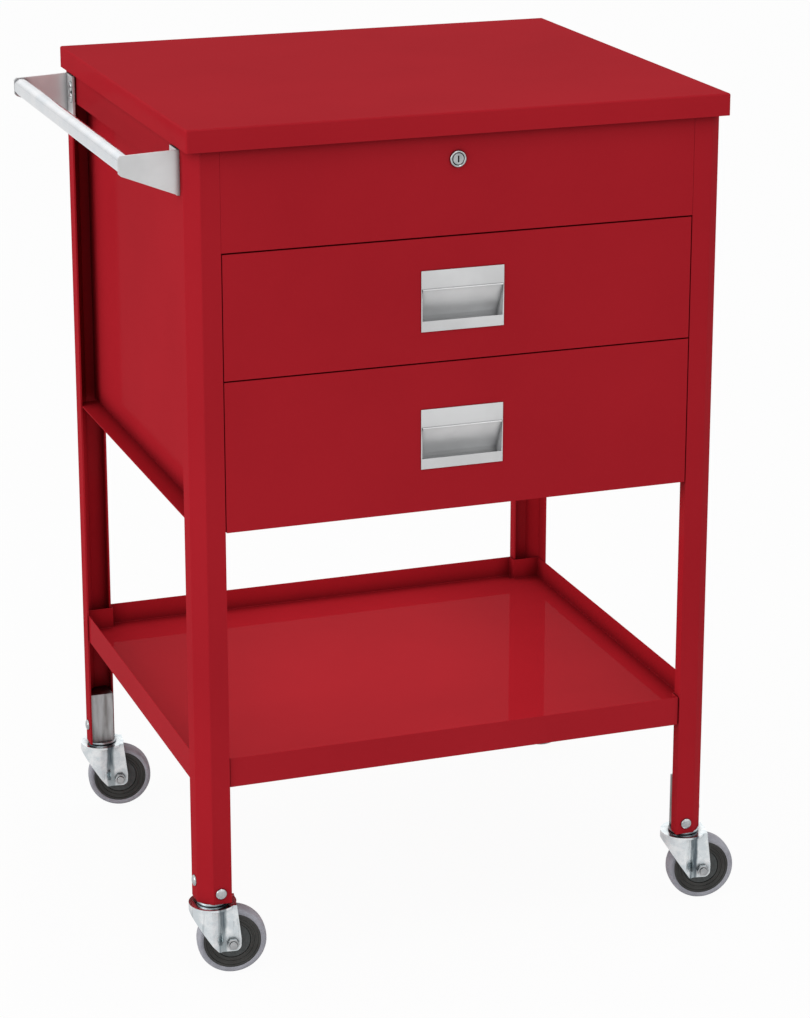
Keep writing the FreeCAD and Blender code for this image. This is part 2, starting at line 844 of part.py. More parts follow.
lock_cam = new_body("lock_cam")
cam_sketch = new_sketch(lock_cam, "XZ_Plane")
outline(
    cam_sketch,
    [
        ("-cam_width / 2", "2 - cam_width / 2"),
        ("2 - cam_width / 2", "-cam_width / 2"),
        ("cam_width / 2 - 2", "-cam_width / 2"),
        ("cam_width / 2", "2 - cam_width / 2"),
        ("cam_width / 2", "cam_length - 3"),
        ("cam_width / 2 - 3", "cam_length"),
        ("3 - cam_width / 2", "cam_length"),
        ("-cam_width / 2", "cam_length - 3"),
    ],
)
pad(lock_cam, cam_sketch, "cam_gauge", reverse=True)
place(
    lock_cam,
    ("lock_offset", "-cart_depth / 2 + lock_barrel_length + running_gap", "lock_height"),
)
keep(lock_cam)

# Strike: a strip that hangs from the lid behind the cam, with a foot under the cam's arm.
strike = new_body("lock_strike")
strike_sketch = new_sketch(strike, "YZ_Plane")
strike_bottom = "lock_height - cam_width / 2 - 1 - strike_gauge"
strike_face = "lock_barrel_length + running_gap + cam_gauge + 1"
outline(
    strike_sketch,
    [
        (strike_face, "cart_height - panel_gauge"),
        (strike_face, strike_bottom + " + strike_gauge"),
        ("%s - cam_gauge - 3" % strike_face, strike_bottom + " + strike_gauge"),
        ("%s - cam_gauge - 3" % strike_face, strike_bottom),
        ("%s + strike_gauge" % strike_face, strike_bottom),
        ("%s + strike_gauge" % strike_face, "cart_height - panel_gauge - strike_gauge"),
        ("%s + strike_gauge + 12" % strike_face, "cart_height - panel_gauge - strike_gauge"),
        ("%s + strike_gauge + 12" % strike_face, "cart_height - panel_gauge"),
    ],
)
pad(strike, strike_sketch, "strike_width")
place(strike, ("lock_offset + strike_reach", "-cart_depth / 2", "0"))
keep(strike)


# Drawers: an open pan with a liner closing the hollow front, which carries a recessed pull.
def drawer_box(label, base, tall, front_low, front_high):
    body = new_body(label)
    depth = "drawer_depth"
    sketch = new_sketch(body, "XY_Plane")
    outline(sketch, box_corners("-drawer_half", "drawer_gauge", "drawer_half", depth))
    pad(body, sketch, tall)
    well = new_sketch(body, "XY_Plane", tall)
    inset = "drawer_gauge"
    outline(
        well,
        box_corners(
            "-drawer_half + %s" % inset,
            "drawer_gauge * 2",
            "drawer_half - %s" % inset,
            "%s - %s" % (depth, inset),
        ),
    )
    pocket(body, well, "%s - drawer_gauge" % tall)
    liner = new_sketch(body, "XZ_Plane")
    margin = "panel_gauge + front_gap"
    outline(
        liner,
        box_corners(
            "-(front_half - %s)" % margin,
            "%s + panel_gauge - (%s)" % (front_low, base),
            "front_half - %s" % margin,
            "%s - panel_gauge - (%s)" % (front_high, base),
        ),
    )
    pad(body, liner, "drawer_gauge", reverse=True)
    place(body, ("0", "-cart_depth / 2 + front_pan", base))
    return keep(body)


def drawer_front(label, low, high, pull_height):
    body = new_body(label)
    sketch = new_sketch(body, "XZ_Plane")
    side = "front_half - front_gap"
    outline(sketch, box_corners("-(%s)" % side, low, side, high))
    pad(body, sketch, "front_pan", reverse=True)
    hollow = new_sketch(body, "XZ_Plane", "-front_pan")
    outline(
        hollow,
        box_corners(
            "-(%s - panel_gauge)" % side,
            "%s + panel_gauge" % low,
            "%s - panel_gauge" % side,
            "%s - panel_gauge" % high,
        ),
    )
    pocket(body, hollow, "front_pan - panel_gauge", reverse=True)
    window = new_sketch(body, "XZ_Plane")
    window_half = "pull_width / 2 - pull_margin + bolt_play"
    outline(
        window,
        box_corners(
            "-(%s)" % window_half,
            "%s - pull_tall / 2 + pull_margin - bolt_play" % pull_height,
            window_half,
            "%s + pull_tall / 2 - pull_label + 2 * pull_margin" % pull_height,
        ),
    )
    pocket(body, window, "panel_gauge * 2")
    place(body, ("0", "-cart_depth / 2", "0"))
    return keep(body)


def drawer_pull(label, height):
    """A pressed pull: a flat label plate, a slope down into the recess and a lower lip."""
    body = new_body(label)
    fold = "pull_tall / 2 - pull_label"
    lip = "pull_lip - pull_tall / 2"
    face = new_sketch(body, "XZ_Plane")
    outline(
        face,
        box_corners("-pull_width / 2", "-pull_tall / 2", "pull_width / 2", "pull_tall / 2"),
    )
    pad(body, face, "pull_proud")
    tub = new_sketch(body, "YZ_Plane")
    deep = "pull_depth + pull_wall"
    base = "-pull_tall / 2 + pull_margin"
    outline(
        tub,
        [
            ("0", "%s + pull_margin" % fold),
            (deep, "%s + pull_slot + 2 * pull_wall" % base),
            (deep, "%s + 2 * pull_wall" % base),
            ("%s - 2 * pull_wall" % deep, base),
            ("0", base),
        ],
    )
    pad(body, tub, "pull_width - 2 * pull_margin", middle=True)
    recess = new_sketch(body, "YZ_Plane")
    outline(
        recess,
        [
            ("-pull_proud - 1", "%s + 1" % fold),
            ("-pull_proud", fold),
            ("pull_depth", "%s + pull_slot" % base),
            ("pull_depth", "%s + 3 * pull_wall" % base),
            ("pull_depth - 2 * pull_wall", "%s + pull_wall" % base),
            ("pull_wall / 2", "%s + pull_wall" % base),
            ("pull_wall / 2", lip),
            ("-pull_proud - 1", lip),
        ],
    )
    pocket(body, recess, "pull_width - 2 * (pull_margin + pull_wall)", middle=True)
    place(body, ("0", "-cart_depth / 2", height))
    return keep(body)


# Telescopic slides: nested channels, each held in the lips of the one outside it.
def channel(depth, tall, gauge, lip, start):
    """A lipped channel section, open towards the middle of the cart."""
    far = "%s + %s" % (start, depth)
    return [
        (start, "-(%s)" % tall),
        (far, "-(%s)" % tall),
        (far, "-(%s) + %s + %s" % (tall, gauge, lip)),
        ("%s - %s" % (far, gauge), "-(%s) + %s + %s" % (tall, gauge, lip)),
        ("%s - %s" % (far, gauge), "-(%s) + %s" % (tall, gauge)),
        ("%s + %s" % (start, gauge), "-(%s) + %s" % (tall, gauge)),
        ("%s + %s" % (start, gauge), "%s - %s" % (tall, gauge)),
        ("%s - %s" % (far, gauge), "%s - %s" % (tall, gauge)),
        ("%s - %s" % (far, gauge), "%s - %s - %s" % (tall, gauge, lip)),
        (far, "%s - %s - %s" % (tall, gauge, lip)),
        (far, tall),
        (start, tall),
    ]


STEP = "(slide_gauge + running_gap)"
SPACER_HALF = "(hat_half - 1)"
SPACER_SECTION = [
    ("0", "-%s" % SPACER_HALF),
    ("slide_spacer", "-%s" % SPACER_HALF),
    ("slide_spacer", SPACER_HALF),
    ("0", SPACER_HALF),
    ("0", "%s - slide_gauge" % SPACER_HALF),
    ("slide_spacer - slide_gauge", "%s - slide_gauge" % SPACER_HALF),
    ("slide_spacer - slide_gauge", "slide_gauge - %s" % SPACER_HALF),
    ("0", "slide_gauge - %s" % SPACER_HALF),
]
OUTER_SECTION = channel(
    "slide_thick - 1", "slide_tall / 2", "slide_gauge", "slide_lip", "slide_spacer"
)
MIDDLE_SECTION = channel(
    "slide_thick - 1 - 2 * %s" % STEP,
    "slide_tall / 2 - %s" % STEP,
    "slide_gauge",
    "slide_lip",
    "slide_spacer + %s" % STEP,
)
HAT_TALL = "slide_tall / 2 - 2 * %s" % STEP
HAT_SECTION = [
    ("slide_spacer + 2 * %s" % STEP, "-(%s)" % HAT_TALL),
    ("slide_spacer + 2 * %s + slide_gauge" % STEP, "-(%s)" % HAT_TALL),
    ("slide_spacer + 2 * %s + slide_gauge" % STEP, "-hat_half"),
    ("slide_spacer + slide_thick", "-hat_half"),
    ("slide_spacer + slide_thick", "hat_half"),
    ("slide_spacer + 2 * %s + slide_gauge" % STEP, "hat_half"),
    ("slide_spacer + 2 * %s + slide_gauge" % STEP, HAT_TALL),
    ("slide_spacer + 2 * %s" % STEP, HAT_TALL),
    ("slide_spacer + 2 * %s" % STEP, "hat_half - slide_gauge"),
    ("slide_spacer + slide_thick - slide_gauge", "hat_half - slide_gauge"),
    ("slide_spacer + slide_thick - slide_gauge", "slide_gauge - hat_half"),
    ("slide_spacer + 2 * %s" % STEP, "slide_gauge - hat_half"),
]


def slide_member(label, section, side, height):
    """One slide member on one side of the cart, built on the inner face of the side panel."""
    body = new_body(label)
    sketch = new_sketch(body, "XZ_Plane")
    outline(sketch, section if side < 0 else mirrored(section))
    pad(body, sketch, "slide_length", reverse=True)
    place(body, ("%d * inner_half" % side, "-cart_depth / 2 + slide_setback", height))
    return body


def slide_pair(label, section, heights):
    """Left and right members, alike, kept as one node of separate solids."""
    members = []
    for height in heights:
        for side in (-1, 1):
            name = "%s_member_%d" % (label, len(members) + 1)
            members.append(slide_member(name, section, side, height))
    group = doc.addObject("Part::Compound", label)
    group.Label = label
    group.Links = members
    return keep(group)


slide_pair("slide_spacers", SPACER_SECTION, ("upper_slide_height", "lower_slide_height"))
slide_pair("slide_channels", OUTER_SECTION, ("upper_slide_height", "lower_slide_height"))

DRAWERS = [
    ("upper", "drawer_seam", "panel_seam"),
    ("lower", "cabinet_base - seam_gap / 2", "drawer_seam"),
]
for name, low, high in DRAWERS:
    front_low = "%s + seam_gap / 2" % low
    front_high = "%s - seam_gap / 2" % high
    base = "%s + %s_box_rise" % (low, name)
    drawer_box(name + "_drawer_box", base, name + "_box_tall", front_low, front_high)
    drawer_front(name + "_drawer_front", front_low, front_high, name + "_pull_height")
    drawer_pull(name + "_drawer_pull", name + "_pull_height")
    slide_pair(name + "_slide_rails", HAT_SECTION, (name + "_slide_height",))
    slide_pair(name + "_slide_middles", MIDDLE_SECTION, (name + "_slide_height",))


# Caster sockets: zinc posts nested in the legs' feet, each bolted through both flanges.
def corner_points():
    """The swivel centres, with the signs of their corner."""
    for name, side, end in LEGS:
        across = side * (size("cart_width") / 2 - size("caster_inset"))
        along = end * (size("cart_depth") / 2 - size("caster_inset"))
        yield name, side, end, across, along


def socket_post(side, end):
    """A post with one bevelled corner that follows the inside of the leg."""
    near = size("leg_gauge")
    bevel = size("leg_bevel") + near * 0.4142 + 0.1
    far = near + size("post_side")
    points = [(bevel, near), (far, near), (far, far), (near, far), (near, bevel)]
    path = [Vector(x, y, 0) for x, y in points]
    prism = Part.Face(Part.makePolygon(path + path[:1])).extrude(Vector(0, 0, size("post_tall")))
    bolt = size("socket_bolt_radius") + size("bolt_play")
    inset = size("socket_bolt_inset")
    depth = size("socket_bolt_length")
    prism = prism.cut(Part.makeCylinder(bolt, depth, Vector(inset, 0, size("face_bolt_rise")), Vector(0, 1, 0)))
    prism = prism.cut(Part.makeCylinder(bolt, depth, Vector(0, inset, size("side_bolt_rise")), Vector(1, 0, 0)))
    if side * end < 0:
        prism = prism.mirror(Vector(), Vector(1, 0, 0))
    turned_by = 0 if end < 0 else 180
    place_at = Vector(side * size("cart_width") / 2, end * size("cart_depth") / 2, size("leg_foot"))
    prism.Placement = Placement(place_at, Rotation(Vector(0, 0, 1), turned_by))
    return prism


def socket_bolts(side, end):
    """The two domed bolts of one leg: through its face and through its flank."""
    length = size("socket_bolt_length") - 0.5
    bolt = dome_bolt(length)
    inset = size("socket_bolt_inset")
    across = side * size("cart_width") / 2
    along = end * size("cart_depth") / 2
    foot = size("leg_foot")
    face = set_out(bolt, (1, 0, 0), -90 * end, across - side * inset, along, foot + size("face_bolt_rise"))
    flank = set_out(bolt, (0, 1, 0), 90 * side, across, along - end * inset, foot + size("side_bolt_rise"))
    return [face, flank]


cart_piece("caster_sockets", [socket_post(side, end) for name, side, end, x, y in corner_points()])
all_bolts = []
for name, side, end, x, y in corner_points():
    all_bolts += socket_bolts(side, end)
cart_piece("socket_bolts", all_bolts)


def per_corner(label, shape):
    """The same turned piece under all four posts, as one node of separate solids."""
    foot = size("leg_foot")
    copies = [set_out(shape, (0, 0, 1), 0, x, y, foot) for name, side, end, x, y in corner_points()]
    return cart_piece(label, copies)


def ring(outer, inner, low, high):
    whole = Part.makeCylinder(outer, high - low, Vector(0, 0, low))
    return whole.cut(Part.makeCylinder(inner, high - low, Vector(0, 0, low)))


race_low = -size("race_thick")
race_bore = size("kingpin_radius") + size("bolt_play")
per_corner("caster_races", ring(size("race_radius"), race_bore, race_low, 0))
crown_low = race_low - size("running_gap") - size("fork_gauge")
head_top = crown_low - size("running_gap")
kingpin = Part.makeCylinder(size("kingpin_radius"), -head_top, Vector(0, 0, head_top))
head_low = head_top - size("kingpin_head_thick")
head = Part.makeCylinder(size("kingpin_head_radius"), size("kingpin_head_thick"), Vector(0, 0, head_low))
per_corner("kingpins", kingpin.fuse(head).removeSplitter())

# Casters: a stamped fork that swivels on the kingpin, and a wheel on a bolt behind it.

def at_corner(side, end):
    across = "%d * (cart_width / 2 - caster_inset)" % side
    along = "%d * (cart_depth / 2 - caster_inset)" % end
    return across, along, "leg_foot"


def extruded(points, run):
    """A prism on a closed outline."""
    return Part.Face(Part.makePolygon(points + points[:1])).extrude(run)


def edges_at(shape, spots, axis):
    """The straight edges along an axis that stand on the given spots, seen along that axis."""
    found = []
    for edge in shape.Edges:
        ends = [vertex.Point for vertex in edge.Vertexes]
        if len(ends) != 2 or abs((ends[1] - ends[0]).dot(axis)) < 0.999 * edge.Length:
            continue
        for spot in spots:
            away = ends[0] - spot
            if (away - axis * away.dot(axis)).Length < 1e-4:
                found.append(edge)
    return found


def fork_plan(inset, low, high):
    """The stamping from above: round at the swivel, then drawn in to two straight cheeks."""
    radius = size("crown_radius") - inset
    neck = -size("fork_neck")
    cheek = size("fork_inside") / 2 + size("fork_gauge")
    rise = math.sqrt(size("crown_radius") ** 2 - neck ** 2)
    lean = math.atan2(rise - cheek, size("fork_waist") - neck)
    neck -= inset * math.tan(lean / 2)
    waist = size("fork_waist") - inset * math.tan(lean / 2)
    rise = math.sqrt(radius ** 2 - neck ** 2)
    cheek -= inset
    far = size("caster_trail") + size("crown_radius") + inset
    half = [(neck, rise), (waist, cheek), (far, cheek)]
    points = [Vector(x, y, low) for x, y in half] + [Vector(x, -y, low) for x, y in reversed(half)]
    drum = Part.makeCylinder(radius, high - low, Vector(0, 0, low))
    front = Part.makeBox(radius * 2, radius * 4, high - low, Vector(neck - radius * 2, -radius * 2, low))
    whole = drum.common(front).fuse(extruded(points, Vector(0, 0, high - low))).removeSplitter()
    shoulders = edges_at(whole, [Vector(neck, rise, 0), Vector(neck, -rise, 0)], Vector(0, 0, 1))
    whole = whole.makeFillet(size("fork_shoulder"), shoulders)
    waists = edges_at(whole, [Vector(waist, cheek, 0), Vector(waist, -cheek, 0)], Vector(0, 0, 1))
    return whole.makeFillet(size("fork_bend") + inset, waists)


def fork_shape():
    """One stamping: a flat crown, a round skirt cut on the slant and two cheeks for the axle."""
    top = -size("race_thick") - size("running_gap")
    under = top - size("fork_gauge")
    axle = size("wheel_radius") - size("leg_foot")
    trail = size("caster_trail")
    foot = size("fork_foot_radius")
    radius = size("crown_radius")
    bottom = axle - foot
    corners = [
        (-radius - 1, top),
        (radius - 1, top),
        (trail + foot, axle + foot / 2),
        (trail + foot - 0.5, bottom),
        (trail - foot - 5.5, bottom),
        (-radius - 1, top - size("fork_skirt")),
    ]
    side = [Vector(x, -radius * 2, z) for x, z in corners]
    profile = extruded(side, Vector(0, radius * 4, 0))
    across = Vector(0, 1, 0)
    profile = profile.makeFillet(foot * 0.75, edges_at(profile, [side[3]], across))
    profile = profile.makeFillet(foot / 2, edges_at(profile, [side[4]], across))
    shell = fork_plan(0, bottom - 1, top).common(profile)
    shell = shell.fuse(Part.makeCylinder(radius, size("fork_gauge"), Vector(0, 0, under)))
    shell = shell.removeSplitter()
    shell = shell.cut(fork_plan(size("fork_gauge"), bottom - 2, under)).removeSplitter()
    pin = size("kingpin_radius") + size("bolt_play")
    shell = shell.cut(Part.makeCylinder(pin, -under, Vector(0, 0, under)))
    hole = size("axle_radius") + size("bolt_play")
    return shell.cut(Part.makeCylinder(hole, radius * 4, Vector(trail, -radius * 2, axle), across))


def fork(label, side, end):
    piece = shaped(label, fork_shape())
    place(piece, at_corner(side, end), (0, 0, 1), "caster_turn")
    return keep(piece)


def axle_bolt(label, side, end):
    """A hexagon bolt through the fork and the wheel, with its nut."""
    full = size("fork_inside") + 2 * size("fork_gauge")
    radius = size("axle_head_radius")

    def hexagon(low, high):
        corners = []
        for corner in range(7):
            corners.append(Rotation(Vector(0, 0, 1), 60 * corner).multVec(Vector(radius, 0, low)))
        return Part.Face(Part.makePolygon(corners)).extrude(Vector(0, 0, high - low))

    shank_end = -full / 2 - size("axle_nut_thick") - 1.5
    shank = Part.makeCylinder(size("axle_radius"), full / 2 - shank_end, Vector(0, 0, shank_end))
    bolt = hexagon(full / 2, full / 2 + size("axle_head_thick")).fuse(shank).removeSplitter()
    nut = hexagon(-full / 2 - size("axle_nut_thick"), -full / 2)
    nut = nut.cut(Part.makeCylinder(size("axle_radius") + 0.02, full * 2, Vector(0, 0, -full)))
    piece = shaped(label, Part.makeCompound([bolt, nut]))
    across = side * (size("cart_width") / 2 - size("caster_inset"))
    along = end * (size("cart_depth") / 2 - size("caster_inset"))
    swivel = Rotation(Vector(0, 0, 1), size("caster_turn"))
    reach = swivel.multVec(Vector(size("caster_trail"), 0, 0))
    centre = Vector(across + size("cart_x"), along + size("cart_y"), size("wheel_radius")) + reach
    piece.Placement = Placement(centre, swivel * Rotation(Vector(1, 0, 0), -90))
    return keep(piece)


TREAD = [
    ("tread_inner_radius", "-tread_width / 2"),
    ("wheel_radius - 2.5", "-tread_width / 2"),
    ("wheel_radius", "-tread_flat / 2"),
    ("wheel_radius", "tread_flat / 2"),
    ("wheel_radius - 2.5", "tread_width / 2"),
    ("tread_inner_radius", "tread_width / 2"),
]


def hub_profile():
    """Half the hub's section up from the bore, as (radius, depth from the tread's side)."""
    boss = "-(fork_inside / 2 - running_gap) + tread_width / 2"
    steps = [
        ("axle_radius + hub_bore_play", boss),
        ("hub_boss_radius", boss),
        ("hub_boss_radius", "hub_recess"),
        ("tread_inner_radius", "hub_recess"),
    ]
    lower = [(radius, "-tread_width / 2 + (%s)" % depth) for radius, depth in steps]
    upper = [(radius, "tread_width / 2 - (%s)" % depth) for radius, depth in reversed(steps)]
    return lower + upper


def wheel_piece(label, profile, side, end):
    """A piece turned about the axle, laid in its place behind the swivel."""
    body = turned(label, profile)
    swivel = Rotation(Vector(0, 0, 1), size("caster_turn"))
    body.Placement = Placement(Vector(), swivel * Rotation(Vector(1, 0, 0), -90))
    across, along, foot = at_corner(side, end)
    lean = "caster_trail * cos(caster_turn * 1 deg)"
    drift = "caster_trail * sin(caster_turn * 1 deg)"
    for name, text in (
        ("x", "cart_x + %s + %s" % (across, lean)),
        ("y", "cart_y + %s + %s" % (along, drift)),
        ("z", "wheel_radius"),
    ):
        body.setExpression("Placement.Base.%s" % name, bound("(%s) * 1 mm" % text))
    return keep(body)


for name, side, end in LEGS:
    fork("caster_fork_" + name, side, end)
    axle_bolt("axle_bolt_" + name, side, end)
    wheel_piece("wheel_tread_" + name, TREAD, side, end)
    wheel_piece("wheel_hub_" + name, hub_profile(), side, end)


# Check everything, then write one file for each piece.
doc.recompute()
for item in doc.Objects:
    if "Invalid" in item.State or "Error" in item.State:
        raise RuntimeError("%s failed: %s" % (item.Label, item.State))
os.makedirs("parts", exist_ok=True)
for piece in KEPT:
    shape = piece.Shape
    if shape.isNull() or not shape.isValid():
        raise RuntimeError("%s has no valid shape" % piece.Label)
    shape.exportStep("parts/%s.step" % piece.Label)
print("%d pieces" % len(KEPT))
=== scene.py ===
import json
import math

import bmesh
import bpy
from mathutils import Matrix, Vector


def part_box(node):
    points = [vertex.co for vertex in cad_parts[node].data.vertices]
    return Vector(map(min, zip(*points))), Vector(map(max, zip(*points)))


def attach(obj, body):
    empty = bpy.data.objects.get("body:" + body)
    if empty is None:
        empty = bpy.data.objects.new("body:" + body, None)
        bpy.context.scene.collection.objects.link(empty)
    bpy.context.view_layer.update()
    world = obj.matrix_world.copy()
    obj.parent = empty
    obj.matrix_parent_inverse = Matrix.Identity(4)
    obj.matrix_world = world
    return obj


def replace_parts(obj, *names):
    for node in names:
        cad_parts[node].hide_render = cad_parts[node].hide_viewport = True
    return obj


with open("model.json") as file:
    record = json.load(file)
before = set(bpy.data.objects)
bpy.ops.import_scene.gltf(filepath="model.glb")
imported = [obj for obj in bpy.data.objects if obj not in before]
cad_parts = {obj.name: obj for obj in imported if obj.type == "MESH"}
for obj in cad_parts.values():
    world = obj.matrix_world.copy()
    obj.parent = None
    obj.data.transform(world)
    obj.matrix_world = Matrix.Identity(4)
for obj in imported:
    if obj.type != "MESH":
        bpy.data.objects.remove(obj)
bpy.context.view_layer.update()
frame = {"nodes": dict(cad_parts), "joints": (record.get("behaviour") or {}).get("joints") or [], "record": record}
scene = bpy.context.scene
nodes = frame["nodes"]

# Camera: a long lens from the front left and above, at the photograph's viewing angle. A
# small downward shift frames the cart from its lid to its wheels.
PHOTO_TALL_PIXELS = 1018
LENS_PIXELS = 3095
SHIFT_PIXELS = -100
SENSOR_MM = 36
CAMERA_PLACE = (-1.111, -3.210, 1.545)
LOOK_DOWN_DEGREES = 16.37
LOOK_RIGHT_DEGREES = 19.73

camera_data = bpy.data.cameras.new("camera")
camera = bpy.data.objects.new("camera", camera_data)
scene.collection.objects.link(camera)
camera_data.sensor_width = SENSOR_MM
camera_data.lens = SENSOR_MM * LENS_PIXELS / PHOTO_TALL_PIXELS
camera_data.shift_y = SHIFT_PIXELS / PHOTO_TALL_PIXELS
camera_data.clip_end = 60
camera.location = CAMERA_PLACE
camera.rotation_euler = (math.radians(90 - LOOK_DOWN_DEGREES), 0, math.radians(-LOOK_RIGHT_DEGREES))
scene.camera = camera

# Light: an even white room with a soft panel on the left, weaker ones in front and overhead,
# and a thin one under the cabinet. Metal mirrors a room that is brighter above eye level.
ROOM_LIGHT = 0.72
METAL_SEES_BELOW = 0.70
METAL_SEES_ABOVE = 1.15
PANELS = (
    # name, place, aim, watts, width
    ("left_panel", (-3.4, -0.6, 1.5), (0, 0, 0.55), 34, 2.2),
    ("front_panel", (1.0, -3.8, 1.6), (0, 0, 0.5), 2, 2.4),
    ("top_panel", (0.0, -0.9, 3.4), (0, 0, 0.6), 12, 1.2),
    ("shelf_panel", (0.0, -0.01, 0.500), (0, 0, 0.2), 0.80, 0.48),
)


class Value:
    """A number that varies over a surface. Sums and products of values add Math nodes."""

    def __init__(self, tree, link):
        self.tree = tree
        self.link = link

    def math(self, operation, first, second):
        step = self.tree.nodes.new("ShaderNodeMath")
        step.operation = operation
        for socket, item in zip(step.inputs, (first, second)):
            if isinstance(item, Value):
                self.tree.links.new(item.link, socket)
            else:
                socket.default_value = item
        return Value(self.tree, step.outputs[0])

    def __add__(self, other):
        return self.math("ADD", self, other)

    def __radd__(self, other):
        return self.math("ADD", other, self)

    def __sub__(self, other):
        return self.math("SUBTRACT", self, other)

    def __rsub__(self, other):
        return self.math("SUBTRACT", other, self)

    def __mul__(self, other):
        return self.math("MULTIPLY", self, other)

    def __rmul__(self, other):
        return self.math("MULTIPLY", other, self)


class Shading:
    """A node tree to which nodes of any kind are added, one call each."""

    def __init__(self, owner):
        owner.use_nodes = True
        self.tree = owner.node_tree

    def node(self, kind, settings, sockets, output=0):
        """A node with its settings, what its sockets are given, and one of its outputs."""
        step = self.tree.nodes.new(kind)
        for setting, choice in settings.items():
            setattr(step, setting, choice)
        for socket, item in sockets.items():
            if isinstance(item, Value):
                self.tree.links.new(item.link, step.inputs[socket])
            else:
                step.inputs[socket].default_value = item
        return Value(self.tree, step.outputs[output])

    def step(self, value, low, high, start=0.0, end=1.0):
        """Runs smoothly from start where the value is low to end where it is high."""
        fed = {"Value": value, "From Min": low, "From Max": high, "To Min": start, "To Max": end}
        return self.node("ShaderNodeMapRange", {"interpolation_type": "SMOOTHSTEP"}, fed, "Result")


scene.view_settings.view_transform = "Standard"
world = bpy.data.worlds.new("studio")
scene.world = world
room = Shading(world)
seen = room.node("ShaderNodeLightPath", {}, {}, "Is Camera Ray")
mirrored = room.node("ShaderNodeLightPath", {}, {}, "Is Glossy Ray")
direction = room.node("ShaderNodeTexCoord", {}, {}, "Generated")
upward = room.node("ShaderNodeSeparateXYZ", {}, {"Vector": direction}, "Z")
metal_view = room.step(upward, low=-0.05, high=0.5, start=METAL_SEES_BELOW, end=METAL_SEES_ABOVE)
brightness = seen + (1 - seen) * (mirrored * metal_view + (1 - mirrored) * ROOM_LIGHT)
background = room.tree.nodes["Background"]
background.inputs["Color"].default_value = (1, 1, 1, 1)
room.tree.links.new(brightness.link, background.inputs["Strength"])

for name, place, aim, watts, width in PANELS:
    panel_data = bpy.data.lights.new(name, "AREA")
    panel_data.energy = watts
    panel_data.size = width
    panel = bpy.data.objects.new(name, panel_data)
    panel.location = place
    panel.rotation_euler = (Vector(aim) - Vector(place)).to_track_quat("-Z", "Y").to_euler()
    scene.collection.objects.link(panel)

# Cabinet: legs, panels, compartment and bottom are folded steel sheets, welded together. A
# red powder coat is baked on them, even and satin, with a very fine orange peel.
RED_DEEP = (0.385, 0.0135, 0.0215)
RED_LIGHT = (0.415, 0.0150, 0.0235)
RED_SPECK = (0.46, 0.022, 0.032)
SHADE_IN_FOLDS = 0.35
FOLD_REACH = 0.022
ORANGE_PEEL = 0.00003
SHEET_EDGE = 0.00045
WELD_REACH = 0.00002
FLAT_WITHIN_DEGREES = 0.6


class Finish(Shading):
    """A material on one Principled shader, whose patterns are read in metres."""

    def __init__(self, name, metallic=0.0, specular=0.5, coat=0.0, coat_rough=0.05):
        self.material = bpy.data.materials.new(name)
        super().__init__(self.material)
        self.shader = self.tree.nodes["Principled BSDF"]
        self.shader.inputs["Metallic"].default_value = metallic
        self.shader.inputs["Specular IOR Level"].default_value = specular
        self.shader.inputs["Coat Weight"].default_value = coat
        self.shader.inputs["Coat Roughness"].default_value = coat_rough
        self.place = self.node("ShaderNodeTexCoord", {}, {}, "Object")

    def noise(self, scale, detail=3, stretch=(1, 1, 1), rough=0.55):
        """Soft random patches, about one over scale metres wide."""
        spread = self.node("ShaderNodeMapping", {}, {"Vector": self.place, "Scale": stretch})
        fed = {"Vector": spread, "Scale": scale, "Detail": detail, "Roughness": rough}
        return self.node("ShaderNodeTexNoise", {}, fed, "Fac")

    def cells(self, scale):
        """Small rounded pits, side by side."""
        fed = {"Vector": self.place, "Scale": scale}
        return self.node("ShaderNodeTexVoronoi", {}, fed, "Distance")

    def corners(self, reach):
        """Ambient occlusion read as painted shade: 0 deep in folds, seams and under overhangs, 1 on open faces."""
        hidden = self.node("ShaderNodeAmbientOcclusion", {"samples": 6}, {"Distance": reach}, "AO")
        return self.step(hidden, 0.30, 1.0)

    def mix(self, share, first, second):
        """A colour between two others. Each is three numbers or a value."""
        fed = {"Factor": share}
        for socket, colour in ((6, first), (7, second)):
            fed[socket] = colour if isinstance(colour, Value) else (*colour, 1)
        return self.node("ShaderNodeMix", {"data_type": "RGBA"}, fed, 2)

    def clouds(self, pattern, first, second, high=0.7):
        """Two colours that drift into each other as a pattern goes from low to high."""
        return self.mix(self.step(pattern, 0.35, high), first, second)

    def paint(self, colour, roughness):
        """Joins the colour and the roughness to the shader."""
        self.tree.links.new(colour.link, self.shader.inputs["Base Color"])
        self.tree.links.new(roughness.link, self.shader.inputs["Roughness"])

    def bump(self, height, distance, amount=1.0):
        """Gives the surface a relief of about this distance."""
        fed = {"Height": height, "Distance": distance, "Strength": amount}
        normal = self.node("ShaderNodeBump", {}, fed, "Normal")
        self.tree.links.new(normal.link, self.shader.inputs["Normal"])


def powder_coat(name, gloss, gloss_rough):
    """Red powder coat between two tones, with specks, thumbed patches and orange peel, and painted shade in folds,
    seams and under the lid's edge.
    """
    coat = Finish(name, specular=0.0, coat=gloss, coat_rough=gloss_rough)
    drift = coat.step(coat.noise(3.5, detail=4), 0.3, 0.7)
    speck = coat.step(coat.noise(900, detail=2), 0.67, 0.76)
    # Painted shade: the red falls to about a third of its tone in folds, seams and under the lid's edge.
    shade = [SHADE_IN_FOLDS * part for part in RED_DEEP]
    tone = coat.mix(coat.corners(FOLD_REACH), shade, coat.mix(drift, RED_DEEP, RED_LIGHT))
    smudge = coat.noise(9, detail=5, rough=0.65)
    fine = coat.noise(420, detail=2)
    coat.paint(coat.mix(speck, tone, RED_SPECK), 0.34 + 0.16 * smudge + 0.06 * fine)
    peel = coat.noise(520, detail=2) + 0.25 * coat.noise(1900, detail=1)
    coat.bump(peel, ORANGE_PEEL, 0.5)
    return coat.material


